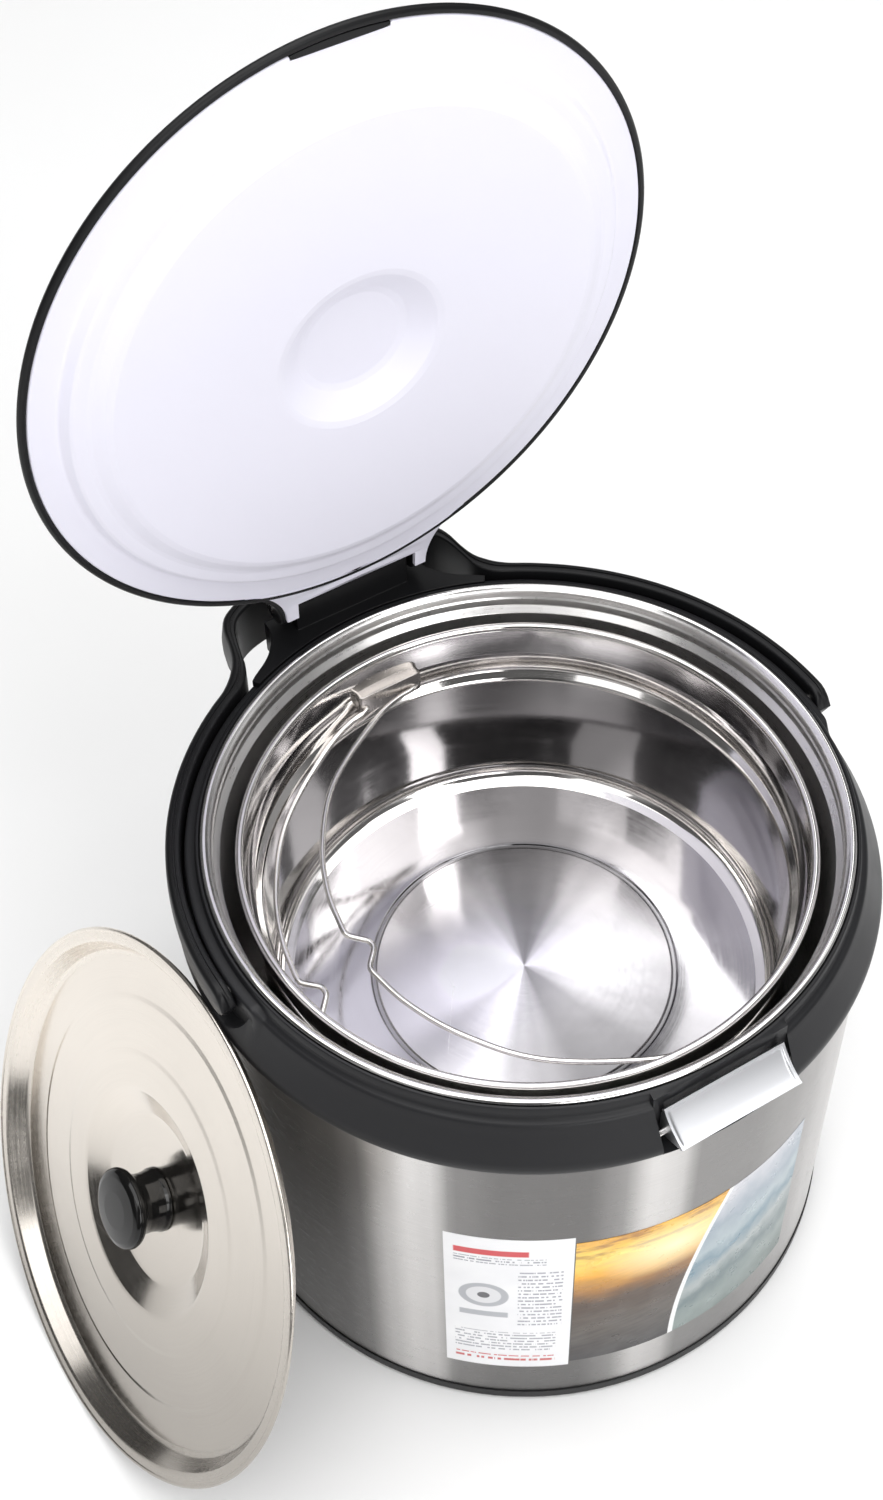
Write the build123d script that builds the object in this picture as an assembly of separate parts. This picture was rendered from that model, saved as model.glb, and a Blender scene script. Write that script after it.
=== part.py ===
from build123d import *
from math import sin, cos, tan, radians, sqrt, pi, atan2
import os

os.makedirs("parts", exist_ok=True)

# ---------------------------------------------------------------- dimensions
# millimetres; Z up, origin on the ground under the middle of the body,
# hinge to the rear (+Y), latch to the front (-Y).

# body
BODY_R = 138.6          # outside of the brushed outer tube
SHELL_T = 0.8
BASE_R = 139.2          # black base ring
SHELL_Z0, SHELL_Z1 = 8.0, 203.2
FOOT_RI, FOOT_RO = 107.0, 117.0
SCREW_PC = 127.0

# inner vessel
VES_R = 122.8           # lower bore
VES_RU = 125.6          # bore above the step
VES_T = 0.9
VES_FLOOR = 22.9
RIM_Z = 236.0
RIM_R = 130.0

# collar
COL_TOP = 235.0
LIP_R = 142.9
REC_R = 136.4           # wall of the recess that takes the carry handle
REC_Z = 217.5
DECK_Z = 231.5          # flat deck behind the rim, beside the arms

# lid, drawn closed and then swung open
HY, HZ = 144.85, 248.25   # hinge axis
OPEN = 87.0
LID_Z = 236.6           # underside of the white liner when closed
LID_LINER_R = 130.3
LID_R = 133.4
NECK_W = 35.4
NECK_F = 27.0           # fillet between neck and disc
SLOT_Y = 136.0
SLOT_W = 28.5
KNUCKLE_W = 27.2
PIN_R = 2.5
CHORD_Y = -126.9

# carry handle
ARM_RI, ARM_RO = 137.6, 144.0
ARM_Z0, ARM_Z1 = 218.5, 235.0
PIV_Y, PIV_Z = -3.0, 226.6

# latch
LAT_W = 27.0
LAT_PY, LAT_PZ = -134.5, 214.5

# pots
MAIN_R = 110.5
POT_FLOOR = 132.0
POT_R = 107.4
POT_RIM_R = 115.6
POT_RIM_Z = 224.3
BAIL_X, BAIL_Z = 12.0, 204.0
WIRE_R = 1.2
BAIL_DROP = 10.0

# loose pot lid, leaning on the left of the body
PL_R = 116.5
PL_TILT = 24.5
PL_C = (-191.85, 0.0, 106.2)


# ---------------------------------------------------------------- helpers
def lathe(pts):
    return revolve(Plane.XZ * make_face(Polyline(*pts, close=True)), axis=Axis.Z)


def lathe_edges(edges):
    return revolve(Plane.XZ * make_face(edges), axis=Axis.Z)


def torus_bead(r, z, a):
    return revolve(Plane.XZ * (Pos(r, z) * Circle(a)), axis=Axis.Z)


def sector(r0, r1, z0, z1, a0, a1):
    """Part of a ring between two azimuths, degrees."""
    f = Plane.XZ * make_face(Polyline((r0, z0), (r1, z0), (r1, z1), (r0, z1), close=True))
    return Rot(0, 0, a0) * revolve(f, axis=Axis.Z, revolution_arc=a1 - a0)


def slab(x0, x1, y0, y1, z0, z1):
    return Pos((x0 + x1) / 2, (y0 + y1) / 2, (z0 + z1) / 2) * Box(x1 - x0, y1 - y0, z1 - z0)


def rod(r, p, q):
    """Round bar from p to q."""
    v = Vector(*q) - Vector(*p)
    pl = Plane(origin=Vector(*p), z_dir=v)
    return extrude(pl * Circle(r), amount=v.length)


def plan(pts, z0, z1):
    return extrude(Plane.XY.offset(z0) * make_face(Polyline(*pts, close=True)), amount=z1 - z0)


def side(pts, x0, x1):
    """Y-Z outline carried from x0 to x1."""
    return extrude(Plane.YZ.offset(x0) * make_face(Polyline(*pts, close=True)), amount=x1 - x0)


def one(s):
    """A single clean solid."""
    sol = s.solids()
    return sol[0] if len(sol) == 1 else s


def soften(s, edges, r):
    try:
        out = fillet(edges, r)
        if out.is_valid and out.volume > 0:
            return out
    except Exception:
        pass
    return s


def around(pc, z, n=4, a0=45.0):
    return [(pc * cos(radians(a0 + i * 360 / n)), pc * sin(radians(a0 + i * 360 / n)), z)
            for i in range(n)]


nodes = {}

# ---------------------------------------------------------------- base
base = lathe([(0, 3.0), (134.0, 3.0), (135.2, 2.0), (138.6, 2.0), (BASE_R, 2.6), (BASE_R, 8.0),
              (134.5, 8.0), (134.5, 6.0), (0, 6.0)])
for x, y, z in around(SCREW_PC, 0):
    base += Pos(x, y, 7.0) * Cylinder(5.0, 2.0)
for x, y, z in around(SCREW_PC, 0):
    base -= Pos(x, y, 5.0) * Cylinder(2.1, 12.0)
nodes["base_plate"] = base

# soft ring the cooker stands on
nodes["foot_ring"] = lathe([(FOOT_RI, 3.0), (FOOT_RI, 0.8), (FOOT_RI + 0.8, 0), (FOOT_RO - 0.8, 0),
                            (FOOT_RO, 0.8), (FOOT_RO, 3.0)])

screws = []
for x, y, z in around(SCREW_PC, 0):
    s = Pos(x, y, 2.1) * Cylinder(3.6, 1.8) + Pos(x, y, 8.5) * Cylinder(1.9, 11.0)
    s -= Pos(x, y, 1.2) * Box(5.0, 0.9, 1.4)
    s -= Pos(x, y, 1.2) * Box(0.9, 5.0, 1.4)
    screws.append(s)
nodes["base_screws"] = Compound(children=screws)

# ---------------------------------------------------------------- outer tube
shell = lathe([(118, SHELL_Z0), (BODY_R, SHELL_Z0), (BODY_R, SHELL_Z1), (134.5, SHELL_Z1),
               (134.5, SHELL_Z1 - SHELL_T), (BODY_R - SHELL_T, SHELL_Z1 - SHELL_T),
               (BODY_R - SHELL_T, SHELL_Z0 + SHELL_T), (118, SHELL_Z0 + SHELL_T)])
for x, y, z in around(SCREW_PC, 0):
    shell -= Pos(x, y, 8.4) * Cylinder(1.9, 3.0)
nodes["outer_shell"] = shell

# ---------------------------------------------------------------- inner vessel
vo, vi = VES_R + VES_T, VES_R
c8, c7 = 8.0, 7.1
prof = Curve() + [
    Line((0, VES_FLOOR - VES_T), (vo - c8, VES_FLOOR - VES_T)),
    RadiusArc((vo - c8, VES_FLOOR - VES_T), (vo, VES_FLOOR - VES_T + c8), -c8),
    Polyline((vo, VES_FLOOR - VES_T + c8), (vo, 223.4), (VES_RU + VES_T, 225.8),
             (VES_RU + VES_T, 233.0), (126.896, 233.853)),
    ThreePointArc((126.896, 233.853), (129.945, 233.986), (127.372, 235.626)),
    Polyline((127.372, 235.626), (126.3, 235.0), (VES_RU, 233.6),
             (VES_RU, 226.2), (vi, 223.8), (vi, VES_FLOOR + c7)),
    RadiusArc((vi, VES_FLOOR + c7), (vi - c7, VES_FLOOR), c7),
    Polyline((vi - c7, VES_FLOOR), (0, VES_FLOOR), (0, VES_FLOOR - VES_T)),
]
vessel = lathe_edges(prof)          # the rim is a rolled bead, 1.6 in radius
nodes["inner_vessel"] = vessel

nodes["insulation_fill"] = lathe([(0, 9.4), (116, 9.4), (116, 17), (136.9, 17), (136.9, 201),
                                  (124.0, 201), (124.0, 21.7), (0, 21.7)])

# ---------------------------------------------------------------- collar
collar = lathe([(134.2, 203.2), (134.2, 205.0), (127.2, 209.0), (127.2, 232.6), (130.25, 232.6),
                (130.25, COL_TOP - 0.4), (130.6, COL_TOP), (131.3, COL_TOP), (131.7, COL_TOP - 0.6),
                (132.0, 229.6), (132.7, 228.9), (134.3, 228.2), (135.0, 227.2),
                (142.3, 212.0), (LIP_R, 209.8), (LIP_R, 208.2), (142.1, 206.3), (139.4, 204.5),
                (139.3, 203.2)])
collar -= sector(REC_R, 150, REC_Z, 240, -1.2, 181.2)
deck = Plane.XZ * make_face(Polyline((131.0, 213.0), (REC_R, 213.0), (REC_R, DECK_Z - 1.4),
                                     (REC_R - 0.45, DECK_Z - 0.45), (REC_R - 1.4, DECK_Z),
                                     (131.0, DECK_Z), close=True))
collar += Rot(0, 0, -7.5) * revolve(deck, axis=Axis.Z, revolution_arc=195)
for sx in (-1, 1):
    # round end of the recess, about the pivot of the arm
    collar -= rod(14.5, (sx * 120.0, PIV_Y, PIV_Z), (sx * 150.0, PIV_Y, PIV_Z)) - Cylinder(REC_R, 600)
    boss = rod(4.0, (sx * 129.0, PIV_Y, PIV_Z), (sx * 137.2, PIV_Y, PIV_Z))
    collar += boss - Cylinder(129.5, 600)
    collar -= rod(2.2, (sx * 129.8, PIV_Y, PIV_Z), (sx * 150, PIV_Y, PIV_Z))
# front pocket for the latch
collar -= slab(-30, 30, -160, -131.0, 207.0, 240)
collar -= rod(1.55, (-31.6, LAT_PY, LAT_PZ), (31.6, LAT_PY, LAT_PZ))
nodes["collar"] = one(collar)

piv = []
for sx in (-1, 1):
    s = rod(2.2, (sx * 130.0, PIV_Y, PIV_Z), (sx * 142.0, PIV_Y, PIV_Z))
    s += rod(4.2, (sx * 141.9, PIV_Y, PIV_Z), (sx * 143.5, PIV_Y, PIV_Z))
    s -= slab(sx * 143.6 - 0.8, sx * 143.6 + 0.8, PIV_Y - 3.0, PIV_Y + 3.0, PIV_Z - 0.5, PIV_Z + 0.5)
    s -= slab(sx * 143.6 - 0.8, sx * 143.6 + 0.8, PIV_Y - 0.5, PIV_Y + 0.5, PIV_Z - 3.0, PIV_Z + 3.0)
    piv.append(one(s))
nodes["handle_pivot_screws"] = Compound(children=piv)

# ---------------------------------------------------------------- hinge block and pin
# plan with concave flares that run into the collar on both sides
flare = [(37.4, 146.5), (38.6, 141.5), (41.6, 136.6), (44.6, 132.9), (47.7, 130.1), (50.5, 128.1),
         (53.5, 126.2), (57.5, 123.2)]
flare_l = [(-x, y) for x, y in flare]
hb_edges = Curve() + [
    Spline(*flare),
    Polyline(flare[-1], (50.0, 112.0), (-50.0, 112.0), flare_l[-1]),
    Spline(*reversed(flare_l)),
    Polyline(flare_l[0], (-37.2, 149.5)),
    ThreePointArc((-37.2, 149.5), (-36.2, 152.0), (-33.7, 153.0)),
    Line((-33.7, 153.0), (33.7, 153.0)),
    ThreePointArc((33.7, 153.0), (36.2, 152.0), (37.2, 149.5)),
    Line((37.2, 149.5), flare[0]),
]
hb_face = make_face(hb_edges)
hb_low = extrude(Plane.XY.offset(REC_Z) * hb_face, amount=DECK_Z - REC_Z) - Cylinder(REC_R, 600)
hb_up = extrude(Plane.XY.offset(DECK_Z) * hb_face, amount=234.8 - DECK_Z) - Cylinder(132.6, 600)
hb = hb_low + hb_up
hb &= side([(100.0, 200.0), (150.5, 200.0), (150.5, REC_Z), (153.2, REC_Z + 2.7), (153.2, 231.5),
            (149.9, 234.8), (100.0, 234.8)], -70.0, 70.0)
kn = side([(HY - 6.5, 234.0), (HY + 6.5, 234.0), (HY + 6.5, HZ), (HY - 6.5, HZ)], -KNUCKLE_W, KNUCKLE_W)
kn += rod(6.5, (-KNUCKLE_W, HY, HZ), (KNUCKLE_W, HY, HZ))
hb += kn
hb -= rod(PIN_R + 0.02, (-60, HY, HZ), (60, HY, HZ))
nodes["hinge_block"] = one(hb)

pin = rod(PIN_R, (-36.4, HY, HZ), (36.4, HY, HZ))
nodes["hinge_pin"] = pin

# ---------------------------------------------------------------- label film on the tube
nodes["label_panel_white"] = sector(BODY_R, BODY_R + 0.2, 33, 148, -136.0, -114.5)
nodes["label_panel_picture"] = sector(BODY_R, BODY_R + 0.2, 36, 143, -114.3, -68.0)

# ---------------------------------------------------------------- lid
def swing(s):
    """Closed lid geometry to the open rest position."""
    return Pos(0, HY, HZ) * Rot(-OPEN, 0, 0) * Pos(0, -HY, -HZ) * s


def neck_plan(w, rc, rf, y_end):
    """Outline of the tongue that runs from the round lid back to the hinge ears."""
    # fillet of radius rf between the disc of radius rc and the straight side x = w
    xc = w + rf
    yc = sqrt((rc + rf) ** 2 - xc ** 2)
    a_side = pi
    tx, ty = rc * xc / (rc + rf), rc * yc / (rc + rf)
    a_t = atan2(ty - yc, tx - xc)
    y_end = max(y_end, yc + 0.02)
    n = 12
    pts = []
    for i in range(n + 1):
        a = a_side + (a_t + 2 * pi - a_side) * i / n if a_t < 0 else a_side + (a_t - a_side) * i / n
        pts.append((xc + rf * cos(a), yc + rf * sin(a)))
    # pts run from the straight side to the disc
    right = [(w, y_end)] + pts + [(tx * 0.93, ty * 0.93)]
    left = [(-x, y) for x, y in reversed(right)]
    return right + left


# black outer moulding, a flat dome
dome_prof = Curve() + [
    Polyline((0, 261.0), (0, 258.9)),
    Spline((0, 258.9), (60.0, 255.7), (94.4, 250.4), (114.3, 245.1), (128.0, 240.2)),
    Polyline((128.0, 240.2), (130.45, 238.75), (130.45, 236.5), (132.2, 236.5), (133.2, 237.2),
             (133.5, 238.3), (132.9, 239.6)),
    Spline((132.9, 239.6), (128.0, 242.1), (115.0, 247.0), (95.0, 252.4), (60.0, 257.8), (30.0, 260.2),
           (0, 261.0)),
]
dome = lathe_edges(dome_prof)

ear_side = [(110.0, LID_Z + 2.0), (HY + 1.2, LID_Z + 2.0), (HY + 4.6, 240.2), (HY + 6.2, 243.6),
            (HY + 6.8, 247.8), (HY + 6.0, 251.4), (HY + 3.8, 254.1), (HY + 0.5, 255.2),
            (139.0, 254.6), (130.0, 252.6), (120.0, 250.6), (110.0, 249.5)]
neck = plan(neck_plan(NECK_W, LID_R, NECK_F, HY + 8), LID_Z + 2.0, 262) & side(ear_side, -60, 60)
neck -= slab(-SLOT_W, SLOT_W, SLOT_Y, 170, 230, 270)
# keep the room for liner and foam inside the round part
inside = lathe([(0, 230), (129.6, 230), (129.6, 239.0), (127.6, 240.2), (114.0, 245.0), (94.2, 250.3),
                (60.0, 255.6), (0, 258.8)])
neck -= inside
neck -= rod(PIN_R + 0.06, (-60, HY, HZ), (60, HY, HZ))
lid_shell = dome + neck

# white inner liner: flat ring, two soft steps down to a raised middle, round recess for a knob
relief = lathe([(LID_LINER_R, LID_Z), (119.6, LID_Z), (118.6, 236.0), (116.4, 232.2), (115.2, 231.4),
                (110.6, 231.0), (108.6, 230.4), (104.4, 227.8), (101.6, 227.0), (36.0, 227.0),
                (33.0, 227.6), (23.6, 234.2), (20.6, 235.0), (0, 235.0), (0, 237.0), (21.2, 237.0),
                (24.6, 236.0), (33.6, 229.6), (36.4, 229.0), (101.0, 229.0), (103.6, 229.7),
                (107.8, 232.3), (110.2, 233.0), (114.2, 233.3), (114.9, 233.8), (117.1, 237.6),
                (118.2, 238.6), (LID_LINER_R, 238.6)])
tongue = plan(neck_plan(NECK_W - 1.6, LID_LINER_R - 0.2, NECK_F, HY - 0.2), LID_Z, LID_Z + 2.0)
tongue -= slab(-SLOT_W, SLOT_W, SLOT_Y, 170, 230, 270)
tongue -= slab(-60, 60, HY - 0.2, 170, 230, 270)
tongue -= Cylinder(LID_LINER_R - 0.5, 600)
liner = relief + tongue
liner -= slab(-19.2, 19.2, -140, CHORD_Y, 230, 245)
nodes["lid_liner"] = swing(one(liner))
# the rim of the moulding is open where the tongue plate passes through it
shell_cut = one(lid_shell) - plan(neck_plan(NECK_W - 1.5, LID_LINER_R - 0.1, NECK_F, HY - 0.1),
                                  LID_Z - 0.5, LID_Z + 2.0)
nodes["lid_shell"] = swing(one(shell_cut))

foam = lathe([(0, 237.2), (21.3, 237.2), (24.7, 236.2), (33.7, 229.8), (36.5, 229.2), (100.9, 229.2),
              (103.5, 229.9), (107.7, 232.5), (110.1, 233.2), (114.0, 233.5), (114.7, 234.0),
              (116.9, 237.8), (118.1, 238.8), (127.8, 238.8), (127.8, 239.8), (114.2, 244.8),
              (94.2, 250.0), (60.0, 255.2), (0, 258.4)])
nodes["lid_foam"] = swing(foam)

catch = slab(-19, 19, -134, CHORD_Y - 0.15, LID_Z, 238.6)
nodes["lid_catch"] = swing(one(catch & Cylinder(130.1, 600)))

# ---------------------------------------------------------------- carry handle
def polar(r, az):
    return (r * cos(radians(az)), r * sin(radians(az)))


# smooth band: two arms on the circle of the collar, bent outward into the grip
go = [(66.6, 128.6), (63.6, 132.2), (61.0, 135.8), (59.4, 139.6), (58.0, 144.8), (57.0, 150.0),
      (55.3, 155.0), (52.2, 159.3), (47.8, 162.5), (42.0, 165.4), (34.0, 168.0), (22.0, 170.4),
      (10.0, 171.6), (0.0, 172.0)]
gi = [(60.3, 124.6), (57.8, 127.9), (56.0, 132.0), (54.9, 137.0), (53.6, 142.5), (51.9, 148.0),
      (49.2, 152.6), (45.0, 156.0), (39.0, 158.6), (30.0, 160.6), (16.0, 161.8), (0.0, 162.2)]
AO, AI = 60.6, 62.6                 # azimuths where the bends begin, outside and inside


def both(half):
    return half + [(-x, y) for x, y in reversed(half[:-1])]


po, pi_ = polar(ARM_RO, AO), polar(ARM_RI, AI)
end_a = -6.0
eo, ei = polar(ARM_RO, end_a), polar(ARM_RI, end_a)
mo_, mi_ = polar(ARM_RO, (AO + end_a) / 2), polar(ARM_RI, (AI + end_a) / 2)


def mir(p):
    return (-p[0], p[1])


band = Curve() + [
    ThreePointArc(eo, mo_, po),
    Spline(po, *both(go), mir(po), tangents=[(-sin(radians(AO)), cos(radians(AO))),
                                             (-sin(radians(AO)), -cos(radians(AO)))]),
    ThreePointArc(mir(po), mir(mo_), mir(eo)),
    Line(mir(eo), mir(ei)),
    ThreePointArc(mir(ei), mir(mi_), mir(pi_)),
    Spline(mir(pi_), *[mir(p) for p in both(gi)], pi_,
           tangents=[(sin(radians(AI)), cos(radians(AI))), (sin(radians(AI)), -cos(radians(AI)))]),
    ThreePointArc(pi_, mi_, ei),
    Line(ei, eo),
]
whole = extrude(Plane.XY.offset(200) * make_face(band), amount=50)
env_edges = Curve() + [
    Polyline((PIV_Y, ARM_Z0), (136.0, ARM_Z0)),
    Spline((136.0, ARM_Z0), (143.0, 216.6), (149.0, 213.6), (156.0, 211.8), (168.6, 211.3)),
    ThreePointArc((168.6, 211.3), (172.0, 225.5), (169.9, 240.0)),
    Spline((169.9, 240.0), (152.0, 239.5), (142.0, 238.1), (132.0, 236.2), (118.0, ARM_Z1)),
    Polyline((118.0, ARM_Z1), (PIV_Y, ARM_Z1), (PIV_Y, ARM_Z0)),
]
env = extrude(Plane.YZ.offset(-200) * make_face(env_edges), amount=400)
rr = (ARM_Z1 - ARM_Z0) / 2
env += rod(rr, (-200, PIV_Y, (ARM_Z0 + ARM_Z1) / 2), (200, PIV_Y, (ARM_Z0 + ARM_Z1) / 2))
handle = whole & env
for sx in (-1, 1):
    # fine groove along the top of each arm
    a0, a1 = (2.0, 60.0) if sx > 0 else (120.0, 178.0)
    handle -= sector(140.6, 141.4, 234.4, 240.0, a0, a1)
    handle -= rod(2.26, (sx * 130, PIV_Y, PIV_Z), (sx * 150, PIV_Y, PIV_Z))
    handle -= rod(4.6, (sx * 141.7, PIV_Y, PIV_Z), (sx * 150, PIV_Y, PIV_Z))
nodes["handle"] = one(handle)

# ---------------------------------------------------------------- latch
p_top, p_bot = (-133.6, 228.2), (-146.5, 217.5)
mid = ((p_top[0] + p_bot[0]) / 2 + 0.96, (p_top[1] + p_bot[1]) / 2 - 1.15)
plate_edges = Curve() + [
    ThreePointArc(p_top, mid, p_bot),
    Polyline(p_bot, (-146.3, 216.0), (-144.3, 214.6), (-131.7, 225.2), (-131.9, 227.4), p_top),
]
plate = extrude(Plane.YZ.offset(-LAT_W) * make_face(plate_edges), amount=2 * LAT_W)
lug_pts = [(-134.3, 211.5), (-132.3, 212.4), (-131.5, 214.4), (-131.5, 224.4), (-132.4, 225.4),
           (-144.0, 215.4), (-142.4, 213.4), (-136.6, 211.6)]
lugs = side(lug_pts, -LAT_W, -LAT_W + 3) + side(lug_pts, LAT_W - 3, LAT_W)
latch = plate + lugs + rod(2.4, (0, -139.0, 214.3), (0, -139.0, 221.5))
latch -= rod(1.56, (-60, LAT_PY, LAT_PZ), (60, LAT_PY, LAT_PZ))
nodes["latch_button"] = one(latch)

nodes["latch_pin"] = rod(1.5, (-31.5, LAT_PY, LAT_PZ), (31.5, LAT_PY, LAT_PZ))

spring_r, wire = 2.2, 0.4
turns = 5.0
z0s, z1s = 207.0 + wire + 0.05, 214.3 - wire - 0.05
hel = Pos(0, -139.0, z0s) * Helix(pitch=(z1s - z0s) / turns, height=(z1s - z0s), radius=spring_r)
prof_c = Plane(origin=hel @ 0, z_dir=hel % 0) * Circle(wire)
spring = sweep(prof_c, path=hel)
nodes["latch_spring"] = one(spring)

# ---------------------------------------------------------------- deep lower pot
mo, mi = MAIN_R, MAIN_R - 0.9
mp = Curve() + [
    Line((0, 23.2), (mo - 11, 23.2)),
    RadiusArc((mo - 11, 23.2), (mo, 34.2), -11),
    Polyline((mo, 34.2), (mo, 197.0), (mi, 197.0), (mi, 35.8)),
    RadiusArc((mi, 35.8), (mi - 10.1, 25.7), 10.1),
    Polyline((mi - 10.1, 25.7), (0, 25.7), (0, 23.2)),
]
nodes["main_pot"] = lathe_edges(mp) + torus_bead(111.3, 196.85, 1.4)

# ---------------------------------------------------------------- shallow upper pot
up_in = [(POT_R, 139.9), (POT_R, 196.7), (108.2, 198.0), (110.5, 200.0), (111.6, 202.2),
         (113.0, 206.4), (113.4, 208.4), (113.6, 222.6)]
up_out = [(114.5, 222.6), (114.3, 208.3), (113.9, 206.2), (112.5, 201.9), (111.3, 199.5),
          (108.9, 197.5), (POT_R + 0.9, 196.4), (POT_R + 0.9, 139.9)]
up = Curve() + [
    Polyline((0, 132), (63.6, 132), (64.2, 131.2), (65.8, 131.2), (66.4, 132), (POT_R - 7.9, 132)),
    RadiusArc((POT_R - 7.9, 132), (POT_R, 139.9), -7.9),
    Polyline(*up_in, *up_out),
    RadiusArc((POT_R + 0.9, 139.9), (POT_R - 7.9, 131.1), 8.8),
    Polyline((POT_R - 7.9, 131.1), (97.6, 131.1), (96.4, 129.5), (0, 129.5), (0, 132)),
]
upper = lathe_edges(up) + torus_bead(114.5, 223.2, 1.1)
nodes["upper_pot"] = upper

cavity = lathe([(0, 150), (POT_R, 150)] + up_in[1:] + [(0, 222.6)])
brackets = []
for sy in (-1, 1):
    b = slab(-15.5, 15.5, min(sy * 108.2, sy * 109.4), max(sy * 108.2, sy * 109.4), 200.6, 211.2)
    for sx in (-1, 1):
        b += slab(min(sx * 14.3, sx * 15.5), max(sx * 14.3, sx * 15.5),
                  min(sy * 108.2, sy * 116), max(sy * 108.2, sy * 116), 200.6, 211.2)
    b = soften(b, b.edges().filter_by(Axis.Y).group_by(Axis.Z)[-1], 1.2)
    b = b & cavity
    for sx in (-1, 1):
        b -= rod(1.26, (sx * BAIL_X, sy * 100, BAIL_Z), (sx * BAIL_X, sy * 120, BAIL_Z))
    brackets.append(one(b))
nodes["pot_bail_brackets"] = Compound(children=brackets)

# ---------------------------------------------------------------- wire bails
wire_half = [(9.0, 106.2), (19.0, 103.2), (32.0, 96.4), (45.0, 88.6), (57.0, 79.6), (66.5, 69.4),
        (75.0, 57.0), (80.4, 47.6), (84.6, 38.0), (88.2, 27.0), (90.2, 16.5)]
kink = [(91.0, 10.6), (90.2, 8.2), (87.0, 4.6), (85.0, 2.2), (84.6, 0.0)]


def bail(px):
    """Wire loop lying to the left of its pivots, hanging BAIL_DROP degrees below level."""
    a = radians(BAIL_DROP)

    def at(u, y):
        return (px - u * cos(a), y, BAIL_Z - u * sin(a))

    loop = wire_half + kink + [(u, -y) for u, y in reversed(kink[:-1])] \
        + [(u, -y) for u, y in reversed(wire_half)]
    path = Spline(at(0, 106.9), *[at(u, y) for u, y in loop], at(0, -106.9))
    wire_loop = sweep(Plane(origin=path @ 0, z_dir=path % 0) * Circle(WIRE_R), path=path)
    for s in (1, -1):
        wire_loop += rod(WIRE_R, at(0, s * 110.6), at(0, s * 106.9))
        wire_loop += Pos(*at(0, s * 106.9)) * Sphere(WIRE_R)
    return wire_loop


level = Pos(BAIL_X, 0, BAIL_Z) * Rot(0, BAIL_DROP, 0) * Pos(-BAIL_X, 0, -BAIL_Z)
nodes["bail_right"] = one(level * bail(BAIL_X))     # rests level on the shoulder of the pot
nodes["bail_left"] = one(bail(-BAIL_X))             # rests lower, against the side wall

# ---------------------------------------------------------------- loose pot lid
a = radians(PL_TILT)
PL = Plane(origin=PL_C, x_dir=(sin(a), 0, cos(a)), z_dir=(-cos(a), 0, sin(a)))
top = [(115.4, 0.6), (111.4, 0.6), (110.2, 0.0), (106.2, -7.2), (104.4, -8.1), (88.0, -7.4),
       (86.0, -6.9), (65.0, -6.2), (63.0, -5.8), (49.6, -5.4), (48.2, -5.8), (37.2, -10.9), (35.6, -11.2),
       (0, -11.2)]
bot = [(0, -12.1), (35.8, -12.1), (37.6, -11.8), (48.6, -6.7), (49.8, -6.3), (63.1, -6.7), (65.1, -7.1),
       (86.1, -7.8), (88.1, -8.3), (104.5, -9.0), (106.9, -7.9), (110.8, -0.8), (111.6, -0.3),
       (115.4, -0.3)]
pl = lathe(top + bot) + torus_bead(115.4, -0.1, 1.1)
pl -= Cylinder(2.2, 100)
nodes["pot_lid"] = PL.location * one(pl)

knob = lathe([(0, -11.2), (13.4, -11.2), (13.6, -10.2), (12.9, -8.4), (12.5, -5.0), (12.8, -1.6),
              (13.8, 1.0), (15.6, 2.4), (16.7, 3.4), (17.2, 4.8), (17.0, 6.4), (16.0, 7.6), (14.0, 8.2),
              (8.0, 8.9), (0, 9.1)])
knob -= Pos(0, 0, -6.2) * Cylinder(2.0, 10.4)
nodes["pot_lid_knob"] = PL.location * one(knob)

washer = Pos(0, 0, -12.5) * Cylinder(7.0, 0.8) - Cylinder(2.2, 100)
nodes["knob_washer"] = PL.location * one(washer)
ks = Pos(0, 0, -14.0) * Cylinder(4.4, 2.2) + Pos(0, 0, -8.2) * Cylinder(2.0, 13.0)
ks = soften(ks, ks.faces().sort_by(Axis.Z)[0].edges(), 0.9)
ks -= Pos(0, 0, -15.1) * Box(6.0, 0.9, 1.6)
ks -= Pos(0, 0, -15.1) * Box(0.9, 6.0, 1.6)
nodes["knob_screw"] = PL.location * one(ks)

# ---------------------------------------------------------------- write
for name, shape in nodes.items():
    export_step(shape, f"parts/{name}.step")
    bb = shape.bounding_box()
    print(f"{name:22s} solids {len(shape.solids())} vol {shape.volume:12.1f} "
          f"x {bb.min.X:8.2f} {bb.max.X:8.2f} y {bb.min.Y:8.2f} {bb.max.Y:8.2f} z {bb.min.Z:8.2f} {bb.max.Z:8.2f}")
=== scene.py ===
import bpy
import bmesh
import math
from mathutils import Matrix, Vector


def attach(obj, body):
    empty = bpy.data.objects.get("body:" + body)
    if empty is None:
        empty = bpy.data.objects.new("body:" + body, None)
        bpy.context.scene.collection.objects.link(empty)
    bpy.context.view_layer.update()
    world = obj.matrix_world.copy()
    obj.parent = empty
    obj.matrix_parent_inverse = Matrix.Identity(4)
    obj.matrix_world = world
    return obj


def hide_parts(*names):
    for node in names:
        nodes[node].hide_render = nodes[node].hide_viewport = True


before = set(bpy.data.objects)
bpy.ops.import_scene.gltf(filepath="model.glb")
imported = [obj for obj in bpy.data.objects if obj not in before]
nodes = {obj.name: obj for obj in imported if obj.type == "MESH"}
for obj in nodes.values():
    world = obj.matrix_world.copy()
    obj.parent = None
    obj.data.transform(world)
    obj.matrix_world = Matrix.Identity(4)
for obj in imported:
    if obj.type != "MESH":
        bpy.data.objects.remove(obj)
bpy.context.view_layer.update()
scene = bpy.context.scene
MM = 0.001
rad = math.radians
SEG = 288


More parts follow.
